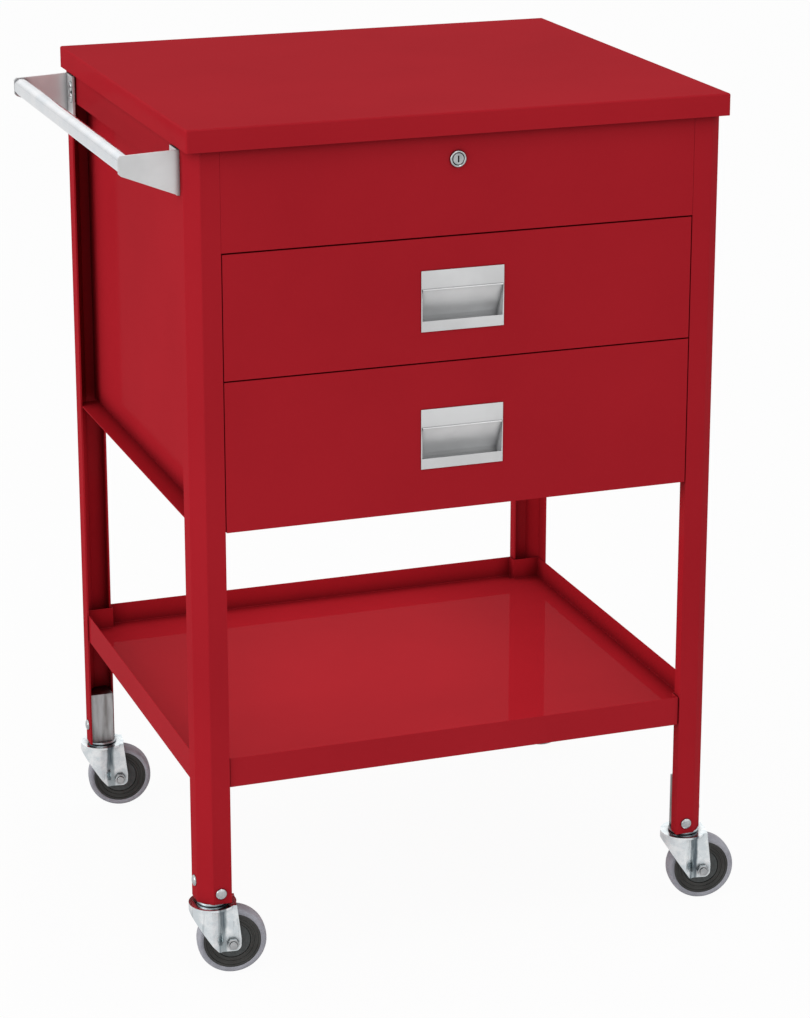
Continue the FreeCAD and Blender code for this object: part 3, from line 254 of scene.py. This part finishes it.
def ease(name, width, segments, least_degrees):
    """Rounds a node's sharp folds and rims by up to this width. A piece that has very short
    edges, such as round holes or bends, is rounded by much less all over."""
    piece = nodes[name]
    weld = piece.modifiers.new("weld", "WELD")
    weld.merge_threshold = WELD_REACH
    flat = piece.modifiers.new("flat", "DECIMATE")
    flat.decimate_type = "DISSOLVE"
    flat.angle_limit = math.radians(FLAT_WITHIN_DEGREES)
    rounding = piece.modifiers.new("ease", "BEVEL")
    rounding.width = width
    rounding.segments = segments
    rounding.limit_method = "ANGLE"
    rounding.angle_limit = math.radians(least_degrees)
    piece.data.polygons.foreach_set("use_smooth", [True] * len(piece.data.polygons))
    even = piece.modifiers.new("even", "WEIGHTED_NORMAL")
    even.weight = 100
    even.thresh = 0.001


def dress(starts, material, width, segments=2, least_degrees=34):
    """Gives a finish and eased edges to every node whose name starts with one of these."""
    for name in nodes:
        if name.startswith(starts):
            nodes[name].data.materials.clear()
            nodes[name].data.materials.append(material)
            ease(name, width, segments, least_degrees)


red = powder_coat("red_powder_coat", gloss=0.03, gloss_rough=0.10)
dress(("leg_", "side_panel", "back_panel", "compartment_", "cabinet_bottom"), red, SHEET_EDGE)

# Lid: one sheet folded down on all four sides, stiffened inside by a hat channel. It has
# the cabinet's powder coat and hangs on the hinge at the back.
dress(("lid",), red, SHEET_EDGE)

# Drawers: each is a folded pan behind a hollow front, and a rail of the same coated steel
# closes the seam between the two fronts from behind.
dress(("upper_drawer_box", "upper_drawer_front"), red, SHEET_EDGE)
dress(("lower_drawer_box", "lower_drawer_front"), red, SHEET_EDGE)
dress(("drawer_divider",), red, SHEET_EDGE)

# Shelf: a pan with an up-turned lip and a skirt, notched round the four legs. Its coat has
# run level in the oven, so that it is a little glossier than the upright sheets.
red_glossy = powder_coat("red_shelf_coat", gloss=0.055, gloss_rough=0.03)
dress(("shelf_tray",), red_glossy, SHEET_EDGE)

# Handle bar: a flattened steel tube between the two brackets, nickel-chrome plated and
# polished along its length.
CHROME_DEEP = (0.80, 0.84, 0.88)
CHROME_LIGHT = (0.91, 0.92, 0.94)
CHROME_PAINTED_SHADE = (0.10, 0.10, 0.11)
BAR_ROUNDING_AT_MOST = 0.0045

chrome = Finish("polished_chrome", metallic=1.0)
haze = chrome.noise(26, detail=4)
lines = chrome.noise(900, stretch=(1, 0.02, 1))
plated = chrome.clouds(haze, CHROME_DEEP, CHROME_LIGHT)
# Painted shade: the plate turns near black where another surface is within 4 mm.
chrome.paint(
    chrome.mix(chrome.corners(0.004), CHROME_PAINTED_SHADE, plated),
    0.12 + 0.07 * chrome.step(haze, 0.4, 0.75) + 0.05 * lines,
)
chrome.bump(lines, 0.000006, 0.35)
dress(("handle_bar",), chrome.material, BAR_ROUNDING_AT_MOST, 5)

# Handle brackets: two tapered plates of rolled steel with a flange bent in, screwed to the
# left side. A fine grain runs along the sheet, under a soft sheen.
STEEL_DEEP = (0.66, 0.665, 0.67)
STEEL_LIGHT = (0.74, 0.745, 0.75)
STEEL_PAINTED_SHADE = (0.17, 0.17, 0.18)
BRACKET_EDGE = 0.0006

satin = Finish("satin_steel", metallic=0.7)
rolled = satin.noise(700, stretch=(0.03, 1, 1))
cloud = satin.noise(18)
# Painted shade: the steel darkens in folds, in the pull's recess and where the brackets meet the side.
satin.paint(
    satin.mix(satin.corners(0.007), STEEL_PAINTED_SHADE, satin.clouds(cloud, STEEL_DEEP, STEEL_LIGHT)),
    0.34 + 0.12 * rolled + 0.05 * cloud,
)
satin.bump(rolled, 0.000008, 0.5)
dress(("handle_bracket",), satin.material, BRACKET_EDGE, 3)

# Drawer pulls: each is one pressed sheet of the brackets' satin steel, with a flat label
# plate, a slope down into the recess and a lower lip to lift under. It clips into the front.
PULL_MARGIN = 0.0005
PULL_FLANGE = 0.0013
PULL_LABEL = 0.0208
PULL_LIP = 0.0115
PULL_LIP_DEPTH = 0.0018
PULL_FLOOR = 0.0021
PULL_BACK_ROOM = 0.0008
PULL_BEND = 0.0020
PULL_ROLL = 0.0011
PULL_SHEET = 0.0007
PULL_EDGE = 0.00035
PULL_EDGE_FROM_DEGREES = 12
SOFT_WITHIN_DEGREES = 38


def piece_of(mesh, name, material, body):
    """Makes an object of the mesh, smooth where its faces meet softly, riding on a body."""
    data = bpy.data.meshes.new(name)
    mesh.to_mesh(data)
    mesh.free()
    piece = bpy.data.objects.new(name, data)
    scene.collection.objects.link(piece)
    data.materials.append(material)
    data.polygons.foreach_set("use_smooth", [True] * len(data.polygons))
    data.set_sharp_from_angle(angle=math.radians(SOFT_WITHIN_DEGREES))
    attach(piece, body)
    return piece


def pull_section(low, high):
    """The pull's outline from its label plate to its lip, as (depth, height) points."""
    deep = high.y - low.y - PULL_BACK_ROOM
    fold = high.z - PULL_LABEL
    lip = low.z + PULL_LIP
    floor = low.z + PULL_FLOOR
    return [
        (0, fold + PULL_ROLL),
        (-0.7 * PULL_ROLL, fold + 0.7 * PULL_ROLL),
        (-PULL_ROLL, fold),
        (-0.7 * PULL_ROLL, fold - 0.7 * PULL_ROLL),
        (0.2 * PULL_BEND, fold - PULL_ROLL),
        (deep - 0.5 * PULL_BEND, lip + PULL_BEND),
        (deep, lip - PULL_BEND),
        (deep, floor + 1.5 * PULL_BEND),
        (deep - PULL_BEND, floor),
        (PULL_LIP_DEPTH, floor),
        (PULL_LIP_DEPTH, lip - 0.25 * PULL_BEND),
        (0, lip),
    ]


def pull(drawer):
    """Presses one drawer's pull: recess, label plate, lip, end walls and side flanges."""
    name = drawer + "_drawer_pull"
    low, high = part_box(name)
    half = (high.x - low.x) / 2 - PULL_MARGIN
    wall = half - PULL_FLANGE
    middle = (low.x + high.x) / 2
    section = pull_section(low, high)
    mesh = bmesh.new()

    def line(side, points):
        return [mesh.verts.new((middle + side, low.y + y, z)) for y, z in points]

    left, right = line(-wall, section), line(wall, section)
    top = line(-wall, [(0, high.z)]) + line(wall, [(0, high.z)])
    foot = line(-wall, [(0, low.z)]) + line(wall, [(0, low.z)])
    for index in range(len(section) - 1):
        mesh.faces.new((left[index], left[index + 1], right[index + 1], right[index]))
    mesh.faces.new((top[0], left[0], right[0], top[1]))
    mesh.faces.new((left[-1], foot[0], foot[1], right[-1]))
    mesh.faces.new(left)
    mesh.faces.new(right)
    heights = [(0, high.z), (0, section[0][1]), (0, section[-1][1]), (0, low.z)]
    rims = ((top[0], left[0], left[-1], foot[0]), (top[1], right[0], right[-1], foot[1]))
    for inner, side in zip(rims, (-half, half)):
        outer = line(side, heights)
        for index in range(3):
            mesh.faces.new((inner[index], inner[index + 1], outer[index + 1], outer[index]))
    bmesh.ops.recalc_face_normals(mesh, faces=mesh.faces)
    label = max(mesh.faces, key=lambda face: face.calc_center_median().z)
    if label.normal.y > 0:
        bmesh.ops.reverse_faces(mesh, faces=mesh.faces)
    piece = piece_of(mesh, name + "_pressed", satin.material, drawer + "_drawer")
    sheet = piece.modifiers.new("sheet", "SOLIDIFY")
    sheet.thickness = PULL_SHEET
    sheet.offset = -1
    bend = piece.modifiers.new("bend", "BEVEL")
    bend.width = PULL_EDGE
    bend.segments = 3
    bend.limit_method = "ANGLE"
    bend.angle_limit = math.radians(PULL_EDGE_FROM_DEGREES)
    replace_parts(piece, name)


pull("upper")
pull("lower")

# Slides, hinge, cam, strike, nut, kingpins and races: small parts of zinc-plated steel, pale
# grey with faint blotches of the bath, a soft grain and slight pitting.
ZINC_DEEP = (0.60, 0.64, 0.66)
ZINC_LIGHT = (0.74, 0.78, 0.80)
ZINC_PAINTED_SHADE = (0.24, 0.27, 0.29)
ZINC_RELIEF = 0.00003
THIN_EDGE = 0.0003
RACE_EDGE = 0.0007

zinc = Finish("zinc_plate", metallic=1.0)
bath = zinc.noise(60, detail=4, rough=0.6)
grain = zinc.noise(1400, detail=2)
plate = zinc.clouds(bath, ZINC_DEEP, ZINC_LIGHT, high=0.68)
# Painted shade darkens the plate in folds and where parts meet.
zinc.paint(zinc.mix(zinc.corners(0.010), ZINC_PAINTED_SHADE, plate), 0.26 + 0.12 * bath + 0.06 * grain)
zinc.bump(grain + 0.4 * zinc.cells(420) + zinc.noise(45, detail=2), ZINC_RELIEF, 0.4)
dress(("slide_", "upper_slide", "lower_slide", "hinge_"), zinc.material, THIN_EDGE)
dress(("lock_cam", "lock_nut", "lock_strike", "kingpins"), zinc.material, THIN_EDGE)
dress(("caster_races",), zinc.material, RACE_EDGE, 3)

# Caster sockets: square posts nested in the feet of the legs and bolted through both their flanges, in duller zinc
# with dark streaks, and with painted shade where the leg hides it.
SOCKET_DEEP = (0.20, 0.19, 0.18)
SOCKET_LIGHT = (0.56, 0.58, 0.59)
SOCKET_PAINTED_SHADE = (0.05, 0.045, 0.04)

socket = Finish("dull_zinc", metallic=1.0)
stain = socket.noise(30, detail=4, stretch=(3, 3, 0.4))
stained = socket.clouds(stain, SOCKET_DEEP, SOCKET_LIGHT, high=0.65)
# Painted shade: the zinc turns near black within 3 cm of the leg's walls.
socket.paint(socket.mix(socket.corners(0.03), SOCKET_PAINTED_SHADE, stained), 0.30 + 0.2 * stain)
socket.bump(socket.noise(700, detail=2), 0.00002, 0.4)
dress(("caster_sockets",), socket.material, THIN_EDGE)

# Caster forks: each is one stamping of zinc-plated sheet. The plate is bright on the flat cheeks and on the round
# skirt; the bend between them carries a painted dark reflection, and painted shade darkens the folds.
CORNERS = ("front_left", "front_right", "rear_left", "rear_right")
BEND_START = 0.0045
BEND_START_FADE = 0.0035
BEND_END = 0.0135
BEND_END_FADE = 0.0030
FORK_DEEP = (0.70, 0.77, 0.80)
FORK_LIGHT = (0.93, 0.97, 0.98)
FORK_WORN = (0.30, 0.36, 0.38)
FORK_PAINTED_REFLECTION_DEEP = (0.10, 0.13, 0.15)
FORK_PAINTED_REFLECTION_LIGHT = (0.42, 0.48, 0.50)
FORK_PAINTED_SHADE = (0.12, 0.13, 0.14)
FORK_EDGE = 0.0007


def joint(name):
    """One joint of the cart, with its place and its axis."""
    return next(found for found in frame["joints"] if found["name"] == name)


def fork(corner):
    """Finishes one fork, with its band of painted dark reflection along the bend, measured from its own kingpin.
    """
    finish = Finish("fork_zinc_" + corner, metallic=1.0)
    trail = Vector(joint("roll_" + corner)["axis"]).cross(Vector((0, 0, 1)))
    kingpin = Vector(joint("swivel_" + corner)["pos_m"])
    wheel_low, wheel_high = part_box("wheel_tread_" + corner)
    if trail.dot((wheel_low + wheel_high) / 2 - kingpin) < 0:
        trail = -trail
    both = {0: finish.place, 1: tuple(trail)}
    along = finish.node("ShaderNodeVectorMath", {"operation": "DOT_PRODUCT"}, both, "Value")
    along = along - kingpin.dot(trail)
    wobble = 0.004 * finish.noise(60)
    begin = finish.step(along + wobble, BEND_START, BEND_START + BEND_START_FADE)
    end = finish.step(along + wobble, BEND_END, BEND_END + BEND_END_FADE)
    bend = begin * (1 - end)
    bath = finish.noise(70, detail=4, rough=0.6)
    streak = finish.noise(160, detail=4, stretch=(1, 1, 0.12))
    plate = finish.clouds(bath, FORK_DEEP, FORK_LIGHT, high=0.68)
    # The bend gets a painted dark reflection in place of the plate's own tone.
    painted_reflection = finish.mix(finish.step(streak, 0.4, 0.62), FORK_PAINTED_REFLECTION_DEEP, FORK_PAINTED_REFLECTION_LIGHT)
    worn = finish.mix(finish.step(streak, 0.60, 0.72) * 0.5, plate, FORK_WORN)
    tone = finish.mix(bend, worn, painted_reflection)
    # Painted shade darkens the fork where another surface is within 8 mm.
    finish.paint(finish.mix(finish.corners(0.008), FORK_PAINTED_SHADE, tone), 0.14 + 0.12 * bath)
    finish.bump(6 * finish.noise(45, detail=2) + 0.5 * finish.cells(420), ZINC_RELIEF, 0.5)
    dress(("caster_fork_" + corner,), finish.material, FORK_EDGE, 3)


for corner in CORNERS:
    fork(corner)

# Bolts: eight hold the caster sockets in the legs, four the handle's brackets and four are
# the wheels' axles. They are forged steel under bright nickel, all but the axles domed.
NICKEL_DEEP = (0.40, 0.42, 0.43)
NICKEL_LIGHT = (0.56, 0.58, 0.59)
NICKEL_PAINTED_SHADE = (0.03, 0.03, 0.03)
AXLE_EDGE = 0.0005
BOLT_SIDES = 28
TIP_SHARE = 0.8
TIP_CHAMFER = 0.0006
HEAD_RIM_SHARE = 0.12
DOME_WIDTH_SHARE = 0.985
DOME_FOOT_SHARE = 0.18
DOME_STEPS = 8
TOUCHING = 0.00001

steel = Finish("bright_nickel", metallic=1.0)
film = steel.noise(120)
nickel = steel.clouds(film, NICKEL_DEEP, NICKEL_LIGHT)
# Painted shade: the nickel turns almost black where another surface is within 4 mm.
steel.paint(steel.mix(steel.corners(0.004), NICKEL_PAINTED_SHADE, nickel), 0.14 + 0.14 * film)
steel.bump(steel.noise(900, detail=2), 0.00001, 0.4)


def islands(name):
    """The separate pieces of one node, each as a list of its corners."""
    mesh = bmesh.new()
    mesh.from_mesh(nodes[name].data)
    bmesh.ops.remove_doubles(mesh, verts=mesh.verts, dist=TOUCHING)
    met = set()
    found = []
    for start in mesh.verts:
        if start in met:
            continue
        met.add(start)
        reached = [start]
        for vertex in reached:
            for edge in vertex.link_edges:
                other = edge.other_vert(vertex)
                if other not in met:
                    met.add(other)
                    reached.append(other)
        found.append([vertex.co.copy() for vertex in reached])
    mesh.free()
    return found


def turned(mesh, profile, place, segments):
    """Adds a shape turned about its own Z from (radius, height) points."""
    rings = []
    for radius, height in profile:
        if radius < TOUCHING:
            rings.append([mesh.verts.new(place @ Vector((0, 0, height)))])
            continue
        ring = []
        for turn in range(segments):
            angle = 2 * math.pi * turn / segments
            spot = Vector((radius * math.cos(angle), radius * math.sin(angle), height))
            ring.append(mesh.verts.new(place @ spot))
        rings.append(ring)
    for low, high in zip(rings, rings[1:]):
        for turn in range(segments):
            after = (turn + 1) % segments
            around = [low[turn % len(low)], low[after % len(low)]]
            around += [high[after % len(high)], high[turn % len(high)]]
            face = list(dict.fromkeys(around))
            if len(face) > 2:
                mesh.faces.new(face)
    bmesh.ops.remove_doubles(mesh, verts=mesh.verts, dist=TOUCHING / 10)
    bmesh.ops.recalc_face_normals(mesh, faces=mesh.faces)


def bolt_profile(head, crown, shank, deep):
    """A chamfered shank and a head with a thin rim and a dome, as (radius, height) points."""
    profile = [(0, -deep), (shank * TIP_SHARE, -deep), (shank, -deep + TIP_CHAMFER), (shank, 0)]
    profile += [(head, 0), (head, crown * HEAD_RIM_SHARE)]
    for part in range(1, DOME_STEPS):
        lean = math.pi / 2 * part / DOME_STEPS
        rise = DOME_FOOT_SHARE + (1 - DOME_FOOT_SHARE) * math.sin(lean)
        profile.append((head * DOME_WIDTH_SHARE * math.cos(lean), crown * rise))
    return profile + [(0, crown)]


def domed_bolts(name):
    """Stands a domed bolt where each plain one of the node is, along the span that is odd."""
    mesh = bmesh.new()
    for points in islands(name):
        low = Vector([min(point[k] for point in points) for k in range(3)])
        high = Vector([max(point[k] for point in points) for k in range(3)])
        middle = (low + high) / 2
        spans = high - low
        odd = max(range(3), key=lambda k: abs(spans[k] - spans[k - 1]) + abs(spans[k] - spans[k - 2]))
        along = Vector([1.0 if k == odd else 0.0 for k in range(3)])
        heights = [(point - middle).dot(along) for point in points]
        reach = [((p - middle) - along * (p - middle).dot(along)).length for p in points]
        head = max(reach)
        at_rim = [h for h, r in zip(heights, reach) if r > head * 0.9]
        seat = sum(at_rim) / len(at_rim)
        tip = max(heights, key=lambda h: abs(h - seat))
        way = -1 if tip > seat else 1
        crown = max(h * way for h in heights) - seat * way
        turn = (along * way).to_track_quat("Z", "Y").to_matrix().to_4x4()
        place = Matrix.Translation(middle + along * seat) @ turn
        profile = bolt_profile(head, crown, min(reach), abs(tip - seat))
        turned(mesh, profile, place, BOLT_SIDES)
    body = next(b for b, held in frame["record"]["behaviour"]["bodies"].items() if name in held)
    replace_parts(piece_of(mesh, name + "_domed", steel.material, body), name)


domed_bolts("socket_bolts")
domed_bolts("handle_screws")
dress(("axle_bolt",), steel.material, AXLE_EDGE, 3)

# Lock: a nickel-plated barrel whose rounded collar stands on the front, and a plug that a
# flat key turns, with the keyway cut up its middle.
COLLAR_STEP = 0.0015
PLUG_PLAY = 0.0001
LOCK_SIDES = 64
COLLAR_ROUNDING = (
    # in from the collar's edge, back from its face
    (0.0015, 0.0028),
    (0, 0.0026),
    (0, 0.0016),
    (0.0003, 0.0008),
    (0.0010, 0.0002),
    (0.0016, 0),
)
HOLE_ROUNDING = (
    # out from the plug's hole, back from the face
    (0.0008, 0.0003),
    (0.0002, 0.0009),
    (0, 0.0018),
)

lock_low, lock_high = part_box("lock_body")
plug_low, plug_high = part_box("lock_plug")
collar = (lock_high.x - lock_low.x) / 2
hole = (plug_high.x - plug_low.x) / 2 + PLUG_PLAY
length = lock_high.y - lock_low.y
seat = Vector(((lock_low.x + lock_high.x) / 2, lock_high.y, (lock_low.z + lock_high.z) / 2))
section = [(hole, 0), (collar - COLLAR_STEP, 0)]
section += [(collar - inward, length - back) for inward, back in COLLAR_ROUNDING]
section += [(hole + outward, length - back) for outward, back in HOLE_ROUNDING]
section.append((hole, 0))
mesh = bmesh.new()
facing_front = Matrix.Rotation(math.radians(90), 4, "X")
turned(mesh, section, Matrix.Translation(seat) @ facing_front, LOCK_SIDES)
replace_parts(piece_of(mesh, "lock_barrel", steel.material, "cabinet"), "lock_body")
dress(("lock_plug",), steel.material, THIN_EDGE, 3)

# Wheel treads: grey rubber moulded round the hub, crowned across the middle and rounded at
# both shoulders, with a little floor dust in it.
RUBBER_DEEP = (0.330, 0.335, 0.375)
RUBBER_LIGHT = (0.420, 0.425, 0.470)
WHEEL_RADIUS = 0.0381
TREAD_INNER = 0.0315
TREAD_HALF = 0.0105
CROWN_HALF = 0.0035
CROWN_FALL = 0.00005
SHOULDER_FALL = 0.0036
SHOULDER_TALL = 0.0034
SHOULDER_WIDE = 0.0052
SHOULDER_STEPS = 6
TREAD_LIP = 0.0014
TREAD_LIP_FALL = 0.0007
TREAD_SIDES = 96

rubber = Finish("grey_rubber", specular=0.3)
dust = rubber.noise(70, detail=5, rough=0.65)
rubber.paint(rubber.clouds(dust, RUBBER_DEEP, RUBBER_LIGHT), 0.55 + 0.15 * dust)
rubber.bump(rubber.noise(1600), 0.00004, 0.5)


def wheel_place(corner):
    """Where one wheel stands, with Z along its axle."""
    low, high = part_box("wheel_tread_" + corner)
    axle = Vector(joint("roll_" + corner)["axis"])
    return Matrix.Translation((low + high) / 2) @ axle.to_track_quat("Z", "Y").to_matrix().to_4x4()


def both_halves(half):
    """A section from its half, which starts at mid wheel and runs outwards."""
    return [(radius, -height) for radius, height in reversed(half)] + half[1:]


def wheel_piece(name, corner, section, sides, material):
    """Turns a closed ring of this section about one wheel's axle."""
    mesh = bmesh.new()
    turned(mesh, section + [section[0]], wheel_place(corner), sides)
    return piece_of(mesh, name + "_" + corner, material, "wheel_" + corner)


def tread(corner):
    """One wheel's tread."""
    half = [(WHEEL_RADIUS, 0), (WHEEL_RADIUS - CROWN_FALL, CROWN_HALF)]
    for part in range(SHOULDER_STEPS + 1):
        lean = math.pi / 2 * part / SHOULDER_STEPS
        radius = WHEEL_RADIUS - SHOULDER_FALL + SHOULDER_TALL * math.cos(lean)
        half.append((radius, TREAD_HALF - SHOULDER_WIDE + SHOULDER_WIDE * math.sin(lean)))
    half += [(TREAD_INNER + TREAD_LIP, TREAD_HALF), (TREAD_INNER, TREAD_HALF - TREAD_LIP_FALL)]
    section = both_halves(half)
    piece = wheel_piece("tread", corner, section, TREAD_SIDES, rubber.material)
    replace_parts(piece, "wheel_tread_" + corner)


for corner in CORNERS:
    tread(corner)

# Wheel hubs: a rim moulded in black plastic, whose face steps in by rings to a dull grey
# disc. The disc's boss carries the axle between the fork's cheeks.
PLASTIC_DEEP = (0.022, 0.022, 0.020)
PLASTIC_LIGHT = (0.040, 0.040, 0.037)
DISC_DEEP = (0.050, 0.056, 0.056)
DISC_LIGHT = (0.072, 0.079, 0.079)
HUB_FACE = TREAD_HALF - 0.0012
BOSS_HALF = 0.0126
BOSS_RADIUS = 0.009
BOSS_CHAMFER = 0.0004
BORE = 0.00408
RIM_SIDES = 96
DISC_SIDES = 72
RIM_INNER = 0.0202
RIM_INNER_HALF = 0.003
RIM_RINGS = (
    # radius, height over the hub's face
    (TREAD_INNER, 0),
    (TREAD_INNER - 0.0006, 0.0004),
    (0.0290, 0.0004),
    (0.0286, -0.0006),
    (0.0262, -0.0009),
    (0.0258, -0.0004),
    (0.0246, -0.0003),
    (0.0242, -0.0012),
    (0.0228, -0.0014),
    (0.0224, -0.0008),
    (0.0206, -0.0008),
    (RIM_INNER, -0.0020),
)
DISC_RADIUS = 0.0201
DISC_RINGS = (
    (DISC_RADIUS, -0.0018),
    (DISC_RADIUS - 0.0005, -0.0014),
    (0.0120, -0.0014),
    (0.0112, -0.0006),
    (BOSS_RADIUS + 0.0006, -0.0004),
    (BOSS_RADIUS, 0.0004),
)

plastic = Finish("black_plastic", specular=0.45)
flow = plastic.noise(45, detail=4, rough=0.6)
plastic.paint(plastic.clouds(flow, PLASTIC_DEEP, PLASTIC_LIGHT), 0.33 + 0.18 * flow)
plastic.bump(plastic.noise(1500, detail=2), 0.00003, 0.35)

disc = Finish("grey_disc", specular=0.4)
grit = disc.noise(300)
disc.paint(disc.clouds(grit, DISC_DEEP, DISC_LIGHT), 0.42 + 0.15 * grit)
disc.bump(disc.noise(1800, detail=2), 0.00003, 0.4)


def hub(corner):
    """One wheel's rim and disc."""
    half = [(TREAD_INNER, 0)] + [(radius, HUB_FACE + rise) for radius, rise in RIM_RINGS]
    section = both_halves(half) + [(RIM_INNER, RIM_INNER_HALF), (RIM_INNER, -RIM_INNER_HALF)]
    wheel_piece("hub_rim", corner, section, RIM_SIDES, plastic.material)

    half = [(DISC_RADIUS, 0)] + [(radius, HUB_FACE + rise) for radius, rise in DISC_RINGS]
    half.append((BOSS_RADIUS, BOSS_HALF - BOSS_CHAMFER))
    half += [(BOSS_RADIUS - BOSS_CHAMFER, BOSS_HALF), (BORE, BOSS_HALF)]
    core = wheel_piece("hub_disc", corner, both_halves(half), DISC_SIDES, disc.material)
    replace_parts(core, "wheel_hub_" + corner)


for corner in CORNERS:
    hub(corner)

# Floor: a pale matt studio floor that stays near white to the camera, keeps a soft contact
# shade under the wheels and mirrors as a grey field in the metal.
FLOOR_SIZE = 60
FLOOR_GREY = 0.8
FLOOR_WHITE_TO_CAMERA = 0.95
FLOOR_WHITE_TO_METAL = 0.40

bpy.ops.mesh.primitive_plane_add(size=FLOOR_SIZE, location=(0, 0, 0))
floor = bpy.context.object
floor.name = "floor"
pale = bpy.data.materials.new("pale_floor")
ground = Shading(pale)
matt = ground.tree.nodes["Principled BSDF"]
matt.inputs["Base Color"].default_value = (FLOOR_GREY, FLOOR_GREY, FLOOR_GREY, 1)
matt.inputs["Roughness"].default_value = 0.9
to_camera = ground.node("ShaderNodeLightPath", {}, {}, "Is Camera Ray")
to_metal = ground.node("ShaderNodeLightPath", {}, {}, "Is Glossy Ray")
glow = ground.node("ShaderNodeEmission", {}, {"Color": (1, 1, 1, 1)})
white = FLOOR_WHITE_TO_CAMERA * to_camera + FLOOR_WHITE_TO_METAL * to_metal
lit = ground.node("ShaderNodeMixShader", {}, {"Fac": white, 2: glow})
ground.tree.links.new(matt.outputs[0], lit.link.node.inputs[1])
ground.tree.links.new(lit.link, ground.tree.nodes["Material Output"].inputs["Surface"])
floor.data.materials.append(pale)
